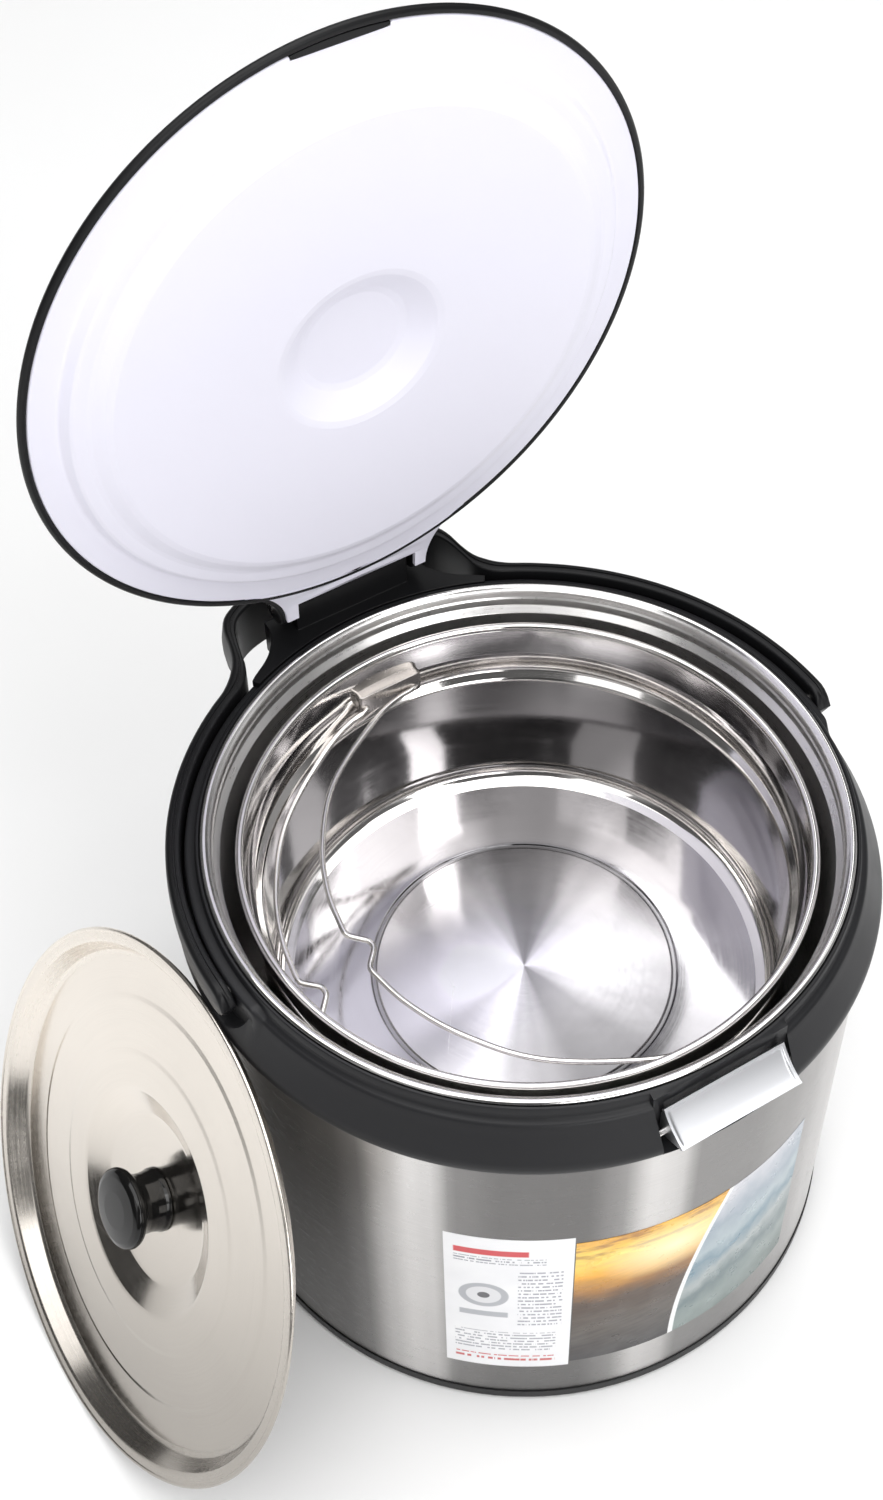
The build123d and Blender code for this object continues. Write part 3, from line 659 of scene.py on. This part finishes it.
for n_, m_ in {
    "base_plate": black_cad, "foot_ring": rubber, "base_screws": steel_wire,
    "outer_shell": steel_shell, "inner_vessel": steel_bright, "insulation_fill": foam,
    "collar": black_cad, "handle_pivot_screws": steel_wire, "hinge_block": black_cad,
    "hinge_pin": steel_wire, "latch_pin": steel_wire, "latch_spring": steel_wire,
    "label_panel_white": steel_shell, "label_panel_picture": steel_shell, "lid_shell": black_cad,
    "lid_liner": white_liner, "lid_foam": foam, "lid_catch": black_cad, "handle": black_cad,
    "latch_button": silver, "main_pot": steel_pot, "upper_pot": steel_pot,
    "pot_bail_brackets": steel_ear, "bail_right": steel_wire, "bail_left": steel_wire,
    "pot_lid": steel_lid, "pot_lid_knob": black_gloss, "knob_screw": steel_wire,
    "knob_washer": steel_wire,
}.items():
    use(n_, m_)

fl = plastic("floor_pale", (0.88, 0.88, 0.88), 0.7, grain=0.0, wear=0.0, var=0.004, spec=0.2)
floor.data.materials.append(fl)


def stand_in(name, data, mat, node, body, sharp=38.0, matrix=None):
    ob = add_mesh(name, data[0], data[1], mat, sharp, matrix)
    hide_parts(node)
    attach(ob, body)
    return ob


# =====================================================================
# body
# =====================================================================
stand_in("tube_skin", lathe_data(arc_round([(118, 8.0), (138.6, 8.0), (138.6, 203.2), (134.5, 203.2),
                                            (134.5, 202.4), (137.8, 202.4), (137.8, 8.8), (118, 8.8)], 0.3)),
         steel_shell, "outer_shell", "cooker_body")

stand_in("vessel_wall", lathe_data(arc_round(
    [(0, 22.0), (115.7, 22.0), (121.2, 24.5), (123.7, 30.0), (123.7, 223.4), (126.5, 225.8), (126.5, 232.9)], 0.8)
    + [(128.4 + 1.6 * math.cos(rad(a)), 234.4 + 1.6 * math.sin(rad(a))) for a in range(-140, 141, 14)]
    + arc_round([(126.35, 235.1), (125.6, 233.4), (125.6, 226.2), (122.8, 223.8), (122.8, 30.0), (120.7, 25.0),
                 (115.7, 22.9), (0, 22.9)], 0.7)), steel_vessel, "inner_vessel", "cooker_body")


def collar_data():
    head = [(134.2, 203.2), (134.2, 205.0), (127.2, 209.0), (127.2, 232.6), (130.25, 232.6),
            (130.25, 234.5), (130.6, 235.0), (131.25, 235.0), (131.65, 234.6)]
    tail = [(142.3, 212.0), (142.75, 210.7), (142.9, 209.6), (142.9, 208.3), (142.7, 207.4),
            (142.1, 206.4), (140.4, 205.1), (139.6, 204.5), (139.3, 203.9), (139.3, 203.2)]

    def flank(z):
        return 135.0 + (227.2 - z) / 15.2 * 7.3

    front = [(131.95, 230.5), (132.12, 229.8), (132.55, 229.15), (133.9, 228.55), (134.6, 228.15),
             (135.1, 227.3), (flank(225.6), 225.6), (flank(223), 223), (flank(220), 220), (flank(217.5), 217.5),
             (flank(214.5), 214.5), (flank(212.8), 212.8)]

    def floor_z(y):
        c = 14.5 ** 2 - (y + 3.0) ** 2
        if c <= 0:
            return None
        return 226.6 - math.sqrt(c)

    def rear(y):
        z = floor_z(y)
        if y < -3.0:
            zf = 224.2 if z is None else min(224.2, z)
        else:
            zf = 217.5 if z is None else min(217.5, z)
        zf = max(zf, 212.4)
        rf = flank(zf)
        return [(131.8, 232.6), (131.95, 232.0), (132.4, 231.65), (134.4, 231.5), (135.5, 231.4),
                (136.1, 231.0), (136.4, 230.2), (136.4, max(227.0, zf + 0.9)), (136.4, zf + 0.5),
                (136.4 + min(0.5, (rf - 136.4) * 0.3), zf + 0.06),
                (rf - min(0.7, (rf - 136.4) * 0.3), zf), (rf, zf - 0.25)]

    def lerp(a, b, t):
        return [(p[0] + (q[0] - p[0]) * t, p[1] + (q[1] - p[1]) * t) for p, q in zip(a, b)]

    def pocket(x):
        rw = math.hypot(131.0, x)
        h = head[:-2] + [(min(131.25, rw - 0.25), 235.0), (min(131.65, rw), 234.6)]
        k = [(rw, 233.5), (rw, 229.0), (rw, 224.0), (rw, 219.0), (rw, 214.0), (rw, 209.5), (rw, 207.5),
             (rw + 0.5, 207.0), (rw + 2.5, 207.0), (rw + 4.5, 207.0), (rw + 6.5, 207.0), (142.0, 207.0)]
        t = [(142.2, 207.0), (142.35, 206.97), (142.45, 206.92), (142.5, 206.85), (142.45, 206.7)] + tail[5:]
        return h + k + t

    rings = []

    def ring_az(a, prof):
        rings.append([Vector((r * math.cos(rad(a)), r * math.sin(rad(a)), z)) * MM for r, z in prof])

    def ring_x(x, prof):
        rings.append([Vector((x, -math.sqrt(r * r - x * x), z)) * MM for r, z in prof])

    def at(a):
        s = a if a <= 90 else 180.0 - a          # both sides alike, -90..90
        y = 139.3 * math.sin(rad(s))
        if s <= -10.5:
            return head + front + tail
        t = min(1.0, (s + 10.5) / 3.0)
        t = t * t * (3 - 2 * t)
        return head + lerp(front, rear(y), t) + tail

    az_list = []
    a = -75.8
    while a < -12.0:
        az_list.append(a)
        a += 1.5
    a = -12.0
    while a < 6.0:
        az_list.append(a)
        a += 0.25
    while a <= 90.0:
        az_list.append(a)
        a += 1.4
    if az_list[-1] < 89.99:
        az_list.append(90.0)
    full = az_list + [180.0 - q for q in reversed(az_list[:-1])]
    for q in full:
        ring_az(q, at(q))
    ring_x(-30.0, head + front + tail)
    for i in range(25):
        x = -30.0 + 60.0 * i / 24
        ring_x(x, pocket(x))
    ring_x(30.0, head + front + tail)
    rings.append(rings[0])
    return loft(rings, caps=False)


stand_in("collar_form", collar_data(), black_collar, "collar", "cooker_body", sharp=46.0)


def panel(a0, a1, z0, z1, r0=138.63, r1=138.8, n=60):
    rings = []
    for i in range(n + 1):
        a = rad(a0 + (a1 - a0) * i / n)
        c, s = math.cos(a), math.sin(a)
        rings.append([Vector((r * c, r * s, z)) * MM for r, z in ((r0, z0), (r1, z0), (r1, z1), (r0, z1))])
    return loft(rings)


stand_in("label_pale_panel", panel(-136.0, -114.5, 33, 148), label_text(), "label_panel_white", "cooker_body")
stand_in("label_print_panel", panel(-114.3, -68.0, 36, 143), label_picture(), "label_panel_picture", "cooker_body")


# =====================================================================
# latch: a scooped plate with a fine raised border
# =====================================================================
def latch_data():
    W, nx, ns = 27.0, 60, 24
    top, bot = Vector((-133.6, 228.2)), Vector((-146.5, 217.5))
    nrm = Vector((-10.7, 12.9)).normalized()
    L = (bot - top).length

    def surf(x, s, off):
        d = min(W - abs(x), s * L, (1 - s) * L)
        t = max(0.0, min(1.0, (d - 1.1) / 0.8))
        sink = 0.45 * t * t * (3 - 2 * t) + 1.5 * 4 * s * (1 - s)
        if off:
            sink = 2.2
        q = top.lerp(bot, s) - nrm * sink
        return Vector((x, q.x, q.y)) * MM

    xs = [-W + 2 * W * i / nx for i in range(nx + 1)]
    xs = sorted(set(xs + [-W + 0.4, -W + 1.1, -W + 1.5, -W + 1.9, W - 1.9, W - 1.5, W - 1.1, W - 0.4]))
    ss = sorted(set([j / ns for j in range(ns + 1)] + [1.1 / L, 1.5 / L, 1.9 / L, 1 - 1.1 / L, 1 - 1.5 / L, 1 - 1.9 / L]))
    rings = []
    for s in ss:
        rings.append([surf(x, s, False) for x in xs] + [surf(x, s, True) for x in reversed(xs)])
    plate = loft(rings)
    lug = [(-134.3, 211.5), (-132.3, 212.4), (-131.6, 214.4), (-131.6, 223.0), (-133.2, 225.6),
           (-144.0, 216.6), (-143.4, 214.6), (-136.6, 211.6)]
    return merge(plate, prism_x(lug, -26.6, -24.2), prism_x(lug, 24.2, 26.6))


stand_in("latch_face", latch_data(), silver, "latch_button", "latch")

# =====================================================================
# carry handle: smooth band with a fine groove along its top
# =====================================================================
GO = [(65.5, 129.0), (62.9, 131.9), (60.2, 135.4), (58.4, 139.2), (57.0, 144.5), (56.0, 149.8), (54.4, 154.6),
      (51.5, 158.6), (47.3, 161.4), (42.0, 163.8), (34.0, 166.2), (22.0, 168.3), (10.0, 169.5), (0.0, 169.8)]
GI = [(60.3, 124.8), (57.9, 127.9), (56.0, 132.0), (54.9, 137.0), (53.6, 142.5), (51.9, 148.0), (49.2, 152.6),
      (45.0, 156.0), (39.0, 158.6), (30.0, 160.6), (16.0, 161.8), (0.0, 162.2)]


def handle_data():
    def half(r, last_az, tail):
        pts = [(r * math.cos(rad(a)), r * math.sin(rad(a))) for a in
               [-4.6 + (last_az + 4.6) * i / 24 for i in range(25)]]
        return resample(catmull([Vector(p) for p in pts + tail], 6), 110)

    outer, inner = half(143.35, 60.5, GO), half(137.6, 62.4, GI)
    z_lo = [(136, 218.5), (140, 217.6), (143, 216.5), (146, 215.0), (149, 213.6), (152, 212.5), (156, 211.8), (168, 211.3)]
    z_hi = [(112, 235.0), (120, 235.1), (126, 235.5), (132, 236.2), (138, 237.4), (142, 238.1), (147, 239.0),
            (152, 239.5), (160, 239.9), (168, 240.0)]
    rings = []
    for i, (o, q) in enumerate(zip(outer, inner)):
        mid = (o + q) / 2
        w = (o - q).length
        d = (o - q) / w
        lo, hi = interp(mid.y, z_lo), interp(mid.y, z_hi)
        if mid.y < -3.0:
            g = math.sqrt(max(0.0, 8.25 ** 2 - (mid.y + 3.0) ** 2))
            lo, hi = 226.75 - max(g, 0.35), 226.75 + max(g, 0.35)
        h = hi - lo
        k = min(1.0, i / 109 / 0.75) ** 4
        b = 0.6 + 1.5 * k
        r1, r2 = min(1.3, h * 0.4), min(2.0, h * 0.4)
        sec = []

        def corner(cx, cy, r, a0, a1, n=5):
            for j in range(n + 1):
                a = rad(a0 + (a1 - a0) * j / n)
                sec.append((cx + r * math.cos(a), cy + r * math.sin(a)))

        corner(r1, r1, r1, 180, 270)
        corner(w - r2, r2, r2, 270, 360)
        for t in (0.3, 0.4, 0.5, 0.6, 0.7):
            sec.append((w, r2 + (h - 2 * r2) * t))
        corner(w - r2, h - r2, r2, 0, 90)
        gd = 0.55 * min(1.0, h / 14.0)
        for gu, gz in ((0.55, 0.0), (0.38, -gd), (-0.38, -gd), (-0.55, 0.0)):
            sec.append((w * 0.47 + gu, h + gz))
        corner(r1, h - r1, r1, 90, 180)
        ring = []
        for u, v in sec:
            u += b * (1 - (2 * v / h - 1) ** 2) * max(0.0, min(1.0, u / w))
            ring.append(Vector((q.x + d.x * u, q.y + d.y * u, lo + v)) * MM)
        rings.append(ring)
    left = [[Vector((-p.x, p.y, p.z)) for p in ring] for ring in reversed(rings[:-1])]
    return loft(rings + left)


stand_in("handle_band", handle_data(), black_handle, "handle", "handle", sharp=50.0)

# =====================================================================
# lid, drawn closed and swung open with its hinge
# =====================================================================
HY, HZ = 144.85, 248.25
SWING = (Matrix.Translation(Vector((0, HY * MM, HZ * MM))) @ Matrix.Rotation(rad(-87.0), 4, "X")
         @ Matrix.Translation(Vector((0, -HY * MM, -HZ * MM))))


def neck_w(y, w, rc, rf):
    """Half-width of the neck at y, flaring into the disc."""
    xc = w + rf
    yc = math.sqrt((rc + rf) ** 2 - xc ** 2)
    if y >= yc:
        return w
    yt = rc * yc / (rc + rf)
    if y <= yt:
        return math.sqrt(max(0.0, rc * rc - y * y))
    return xc - math.sqrt(max(0.0, rf * rf - (yc - y) ** 2))


def lid_shell_data():
    dome = arc_round([(0, 258.9), (30, 258.1), (60, 255.7), (78, 253.4), (94.4, 250.4), (114.3, 245.1), (128.0, 240.2),
                      (130.45, 238.75), (130.45, 236.5), (132.2, 236.5), (133.2, 237.2), (133.5, 238.3),
                      (132.9, 239.6), (128.0, 242.1), (122, 244.6), (115.0, 247.0), (105, 249.9), (95.0, 252.4),
                      (78, 255.6), (60.0, 257.8), (45, 259.3), (30.0, 260.2), (15, 260.8), (0, 261.0)], 0.6, 9.0)
    lo = [(HY + 1.2, 238.6), (HY + 2.6, 239.0), (HY + 4.0, 239.8), (HY + 5.2, 241.2), (HY + 6.2, 243.6),
          (HY + 6.6, 245.6), (HY + 6.75, 247.5)]
    hi = [(110, 249.5), (120, 250.6), (130, 252.6), (139, 254.6), (HY + 0.5, 255.2), (HY + 2.4, 254.9),
          (HY + 3.8, 254.1), (HY + 5.2, 252.7), (HY + 6.0, 251.4), (HY + 6.5, 249.6), (HY + 6.75, 248.0)]

    def sec(x0, x1, z0, z1, y):
        r = max(0.05, min(1.2, (z1 - z0) * 0.35, (x1 - x0) * 0.3))
        pts = []
        for cx, cz, a0 in ((x0 + r, z0 + r, 180), (x1 - r, z0 + r, 270), (x1 - r, z1 - r, 0), (x0 + r, z1 - r, 90)):
            for j in range(5):
                a = rad(a0 + 90 * j / 4)
                pts.append(Vector((cx + r * math.cos(a), y, cz + r * math.sin(a))) * MM)
        return pts

    def z_of(y):
        return interp(y, lo), interp(y, hi)

    full = []
    y = 116.0
    while y < 135.999:
        w = neck_w(y, 35.4, 133.4, 27.0) if y >= 122.9 else 51.9 * y / 122.9
        z0, z1 = z_of(y)
        full.append(sec(-w, w, z0, z1, y))
        y += 1.0
    w = neck_w(136.0, 35.4, 133.4, 27.0)
    full.append(sec(-w, w, *z_of(136.0), 136.0))
    ears = []
    ys = [135.6 + 0.8 * i for i in range(13)] + [HY + 1.2 + 0.35 * i for i in range(16)] + [HY + 6.75]
    for s in (-1, 1):
        rows = []
        for y in sorted(ys):
            w = neck_w(y, 35.4, 133.4, 27.0)
            z0, z1 = z_of(y)
            x0, x1 = (28.5, w) if s > 0 else (-w, -28.5)
            rows.append(sec(x0, x1, z0, z1, y))
        ears.append(loft(rows))
    # only the part outside the round moulding: start just inside its edge
    return merge(lathe_data(dome), loft(full), *ears)


stand_in("lid_moulding", lid_shell_data(), black_handle, "lid_shell", "lid", sharp=40.0, matrix=SWING)


def liner_data():
    prof = arc_round([(130.3, 236.6), (119.6, 236.6), (118.6, 236.0), (116.4, 232.2), (115.2, 231.4),
                      (110.6, 231.0), (108.6, 230.4), (104.4, 227.8), (101.6, 227.0), (36.0, 227.0),
                      (33.0, 227.6), (23.6, 234.2), (20.6, 235.0), (0, 235.0), (0, 237.0), (21.2, 237.0),
                      (24.6, 236.0), (33.6, 229.6), (36.4, 229.0), (101.0, 229.0), (103.6, 229.7),
                      (107.8, 232.3), (110.2, 233.0), (114.2, 233.3), (114.9, 233.8), (117.1, 237.6),
                      (118.2, 238.6), (130.3, 238.6)], 1.6, 4.0)
    prof = [(min(r, 130.3), z) for r, z in prof]
    segs = SEG
    # cut the front edge flat by pulling the ring in to the chord
    verts, faces = lathe_data(prof, segs)
    verts = [(x, max(y, -126.9 * MM) if abs(x) < 19.2 * MM and z > 230 * MM and y < -120 * MM else y, z)
             for x, y, z in verts]

    def w_of(y):
        return neck_w(y, 33.8, 130.1, 27.0)

    rows = []
    y = 119.0
    ys = []
    while y < 135.95:
        ys.append(y)
        y += 0.9
    ys.append(136.0)
    for y in ys:
        w = w_of(y)
        xi = math.sqrt(max(0.0, 130.0 ** 2 - y * y))
        rows.append((y, xi, w))
    parts = []
    for s in (-1, 1):
        strip = []
        for y, xi, w in rows:
            a, b = (min(xi, w - 0.01), w)
            strip.append([Vector((s * x, y, z)) * MM for x, z in ((a, 236.6), (b - 0.25, 236.6), (b, 236.85), (b, 238.6), (a, 238.6))])
        parts.append(loft(strip))
        ear = []
        for i in range(11):
            y = 136.0 + (HY - 0.2 - 136.0) * i / 10
            w = w_of(y)
            ear.append([Vector((s * x, y, z)) * MM for x, z in ((28.5, 236.6), (w - 0.25, 236.6), (w, 236.85), (w, 238.6), (28.5, 238.6))])
        parts.append(loft(ear))
    return merge((verts, faces), *parts)


stand_in("liner_plate", liner_data(), white_liner, "lid_liner", "lid", sharp=60.0, matrix=SWING)

# =====================================================================
# pots
# =====================================================================
stand_in("main_pot_form", merge(lathe_data(arc_round(
    [(0, 23.2), (99.5, 23.2), (106.8, 26.0), (110.5, 34.2), (110.5, 197.0), (109.6, 197.0), (109.6, 35.8),
     (106.6, 28.6), (99.5, 25.7), (0, 25.7)], 3.0)), lathe_data(bead(111.3, 196.85, 1.4))),
    steel_pot, "main_pot", "main_pot")

UP_IN = [(107.4, 139.9), (107.4, 196.7), (108.2, 198.0), (110.5, 200.0), (111.6, 202.2),
         (113.0, 206.4), (113.4, 208.4), (113.6, 222.6)]
UP_OUT = [(114.5, 222.6), (114.3, 208.3), (113.9, 206.2), (112.5, 201.9), (111.3, 199.5),
          (108.9, 197.5), (108.3, 196.4), (108.3, 139.9)]


def corner_arc(cx, cz, r, a0, a1, n=10):
    return [(cx + r * math.cos(rad(a0 + (a1 - a0) * i / n)), cz + r * math.sin(rad(a0 + (a1 - a0) * i / n)))
            for i in range(n + 1)]


pot_wall = arc_round(corner_arc(99.5, 139.9, 7.9, -60, 0) + UP_IN[1:] + UP_OUT[:-1] + corner_arc(99.5, 139.9, 8.8, 0, -90)
                     + [(97.6, 131.1), (96.4, 129.5), (96.0, 129.5), (96.0, 131.0)], 1.0, 9.0)
pot_base = arc_round([(0, 129.5), (96.3, 129.5), (97.6, 131.1), (99.5, 131.1)], 0.4) \
    + [(103.9, 132.3)] + corner_arc(99.5, 139.9, 7.9, -60, -90) \
    + arc_round([(98.0, 132.0), (66.4, 132), (65.8, 131.2), (64.2, 131.2), (63.6, 132), (0.0, 132)], 0.4)
stand_in("upper_pot_form", merge(lathe_data(pot_wall), lathe_data(bead(115.3, 223.3, 1.75, 28))),
         steel_pot, "upper_pot", "upper_pot")
pf = add_mesh("upper_pot_floor", *lathe_data(pot_base), steel_floor)
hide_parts("upper_pot")
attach(pf, "upper_pot")

WIRE_HALF = [(9.0, 106.2), (19.0, 103.2), (32.0, 96.4), (45.0, 88.6), (57.0, 79.6), (66.5, 69.4),
             (75.0, 57.0), (80.4, 47.6), (84.6, 38.0), (88.2, 27.0), (90.2, 16.5)]
KINK = [(91.0, 10.6), (90.2, 8.2), (87.0, 4.6), (85.0, 2.2), (84.6, 0.0)]


def bail_data(px, drop):
    a = rad(drop)

    def at(u, y):
        return Vector((px - u * math.cos(a), y, 204.0 - u * math.sin(a))) * MM

    half = [(0, 110.4), (0, 108.6), (0.6, 107.6), (3.0, 106.9)] + WIRE_HALF + KINK
    pts = [at(u, y) for u, y in half] + [at(u, -y) for u, y in reversed(half[:-1])]
    return tube(resample(catmull(pts, 8), 260), 1.2 * MM, 14)




def ear_data(sy):
    """Bent strip in the pot's shoulder that holds the wire ends."""
    def wall(z):
        return interp(z, [(200.0, 110.5), (202.2, 111.6), (206.4, 113.0), (208.4, 113.4), (222.6, 113.6)])

    zs = [200.6, 200.7, 200.9, 201.2, 203.0, 206.0, 209.0, 210.0, 210.5, 210.8, 211.0, 211.15, 211.2]
    rings = []
    for z in zs:
        e = min(z - 200.6, 211.2 - z)
        thin = 0.3 - math.sqrt(max(0.0, 0.3 ** 2 - (0.3 - min(0.3, e)) ** 2))
        w = 15.5 - (1.6 - math.sqrt(max(0.0, 1.6 ** 2 - max(0.0, z - 209.6) ** 2)))
        y0 = 108.2 + thin
        yo = math.sqrt(wall(z) ** 2 - w * w) + 0.2
        xo = w - thin
        half = [(xo, yo), (xo, y0 + 1.6), (xo - 0.12, y0 + 0.95), (xo - 0.5, y0 + 0.42), (xo - 1.1, y0 + 0.1),
                (xo - 1.8, y0), (8.0, y0), (3.0, y0)]
        back = [(q, math.sqrt(wall(z) ** 2 - q * q) + 0.2) for q in (3.0, 6.0, 9.0, 12.0)]
        ring = half + [(-x, y) for x, y in reversed(half)] + [(-x, y) for x, y in reversed(back)] + back
        rings.append([Vector((x, sy * y, z)) * MM for x, y in ring])
    return loft(rings)


stand_in("bail_ears", merge(ear_data(1), ear_data(-1)), steel_ear, "pot_bail_brackets", "upper_pot", sharp=50.0)
stand_in("bail_wire_right", bail_data(12.0, 0.0), steel_wire, "bail_right", "bail_right")
stand_in("bail_wire_left", bail_data(-12.0, 10.0), steel_wire, "bail_left", "bail_left")

# =====================================================================
# loose pot lid and its knob
# =====================================================================
ta = rad(24.5)
PL = Matrix.Identity(4)
cols = (Vector((math.sin(ta), 0, math.cos(ta))), Vector((0, 1, 0)), Vector((-math.cos(ta), 0, math.sin(ta))))
cols = (cols[0], cols[2].cross(cols[0]), cols[2])
for i, v in enumerate(cols):
    for r in range(3):
        PL[r][i] = v[r]
PL.translation = Vector((-191.85, 0.0, 106.2)) * MM
top = [(115.4, 0.6), (111.4, 0.6), (110.2, 0.0), (106.2, -7.2), (104.4, -8.1), (88.0, -7.4),
       (86.0, -6.9), (65.0, -6.2), (63.0, -5.8), (49.6, -5.4), (48.2, -5.8), (37.2, -10.9), (35.6, -11.2),
       (0, -11.2)]
bot = [(0, -12.1), (35.8, -12.1), (37.6, -11.8), (48.6, -6.7), (49.8, -6.3), (63.1, -6.7), (65.1, -7.1),
       (86.1, -7.8), (88.1, -8.3), (104.5, -9.0), (106.9, -7.9), (110.8, -0.8), (111.6, -0.3),
       (115.4, -0.3)]
stand_in("pot_lid_form", merge(lathe_data(arc_round(top + bot, 1.4, 4.0)), lathe_data(bead(115.4, -0.1, 1.1))),
         steel_lid, "pot_lid", "pot_lid", matrix=PL)
stand_in("knob_form", lathe_data(arc_round(
    [(0, -11.2), (13.4, -11.2), (13.6, -10.2), (12.9, -8.4), (12.5, -5.0), (12.8, -1.6),
     (13.8, 1.0), (15.6, 2.4), (16.7, 3.4), (17.2, 4.8), (17.0, 6.4), (16.0, 7.6), (14.0, 8.3),
     (8.0, 8.95), (0, 9.1)], 1.2, 4.0), 128), black_gloss, "pot_lid_knob", "pot_lid", matrix=PL)

# =====================================================================
# light
# =====================================================================
world = bpy.data.worlds.new("studio")
scene.world = world
world.use_nodes = True
wt = world.node_tree
wt.nodes.clear()


def wn(kind, **kw):
    nd = wt.nodes.new("ShaderNode" + kind)
    for k, v in kw.items():
        setattr(nd, k, v)
    return nd


def wmath(op, a, b=None):
    nd = wn("Math", operation=op)
    for i, v in enumerate((a, b)):
        if v is None:
            continue
        if isinstance(v, bpy.types.NodeSocket):
            wt.links.new(v, nd.inputs[i])
        else:
            nd.inputs[i].default_value = v
    return nd.outputs[0]


wo = wn("OutputWorld")
bg = wn("Background")
tc = wn("TexCoord")
sp = wn("SeparateXYZ")
wt.links.new(tc.outputs["Generated"], sp.inputs[0])
turn_w = wmath("FRACT", wmath("ADD", wmath("DIVIDE", wmath("ARCTAN2", sp.outputs[1], sp.outputs[0]), 2 * math.pi), 1.0))
elev = wmath("ADD", wmath("MULTIPLY", sp.outputs[2], 0.5), 0.5)
r_el = wn("ValToRGB")
wt.links.new(elev, r_el.inputs[0])
fill_ramp(r_el.color_ramp, [(0.0, 0.8), (0.49, 0.5), (0.505, 0.09), (0.60, 0.10), (0.72, 0.16), (0.95, 0.20), (1.0, 0.5)])
r_az = wn("ValToRGB")
wt.links.new(turn_w, r_az.inputs[0])
fill_ramp(r_az.color_ramp, [(0.0, 2.4), (0.03, 1.4), (0.08, 0.8), (0.27, 1.0), (0.42, 0.8), (0.46, 0.6), (0.50, 0.5),
                            (0.53, 2.8), (0.60, 3.0), (0.625, 0.6), (0.75, 0.6), (0.765, 3.5), (0.80, 3.5), (0.82, 1.0),
                            (0.91, 1.0), (0.935, 2.6), (0.99, 2.8)])
# the panels fade out toward the zenith
fade = wmath("MULTIPLY", wmath("SUBTRACT", 1.0, sp.outputs[2]), 1.6)
mixw = wn("Mix", data_type="RGBA", blend_type="MIX")
cl = wn("Clamp")
wt.links.new(fade, cl.inputs[0])
wt.links.new(cl.outputs[0], mixw.inputs[0])
mixw.inputs[6].default_value = (0.8, 0.8, 0.8, 1)
wt.links.new(r_az.outputs[0], mixw.inputs[7])
mul = wn("Mix", data_type="RGBA", blend_type="MULTIPLY")
mul.inputs[0].default_value = 1.0
wt.links.new(r_el.outputs[0], mul.inputs[6])
wt.links.new(mixw.outputs[2], mul.inputs[7])
wt.links.new(mul.outputs[2], bg.inputs[0])
bg.inputs[1].default_value = 1.0
plain = wn("Background")
plain.inputs[0].default_value = (0.86, 0.86, 0.86, 1)
seen = wn("LightPath")
pick = wn("MixShader")
wt.links.new(seen.outputs["Is Camera Ray"], pick.inputs[0])
wt.links.new(bg.outputs[0], pick.inputs[1])
wt.links.new(plain.outputs[0], pick.inputs[2])
wt.links.new(pick.outputs[0], wo.inputs[0])



def box_at(name, a, el, dist, width, height, power):
    """Softbox seen from the cooker at turn a and height el, degrees."""
    c = math.cos(rad(el)) * dist
    area_light(name, (c * math.cos(rad(a)), c * math.sin(rad(a)), math.sin(rad(el)) * dist + 0.2), (0, 0, 0.2),
               width, power, size_y=height)


box_at("box_front_right", -78, 47, 2.6, 0.50, 1.5, 12)
box_at("box_left", -157, 47, 2.6, 0.90, 1.3, 5)
box_at("box_right", -10, 47, 2.6, 0.85, 1.3, 3)
box_at("box_rear_right", 52, 50, 2.6, 0.8, 1.2, 2.7)
area_light("box_top", (0.0, -0.1, 3.3), (0.0, -0.1, 0.0), 3.8, 125)
area_light("box_front", (-0.25, -2.5, 1.15), (0.0, 0.1, 0.38), 1.6, 25, size_y=1.1)

scene.view_settings.view_transform = "Standard"
scene.view_settings.look = "None"
scene.view_settings.exposure = 0.0
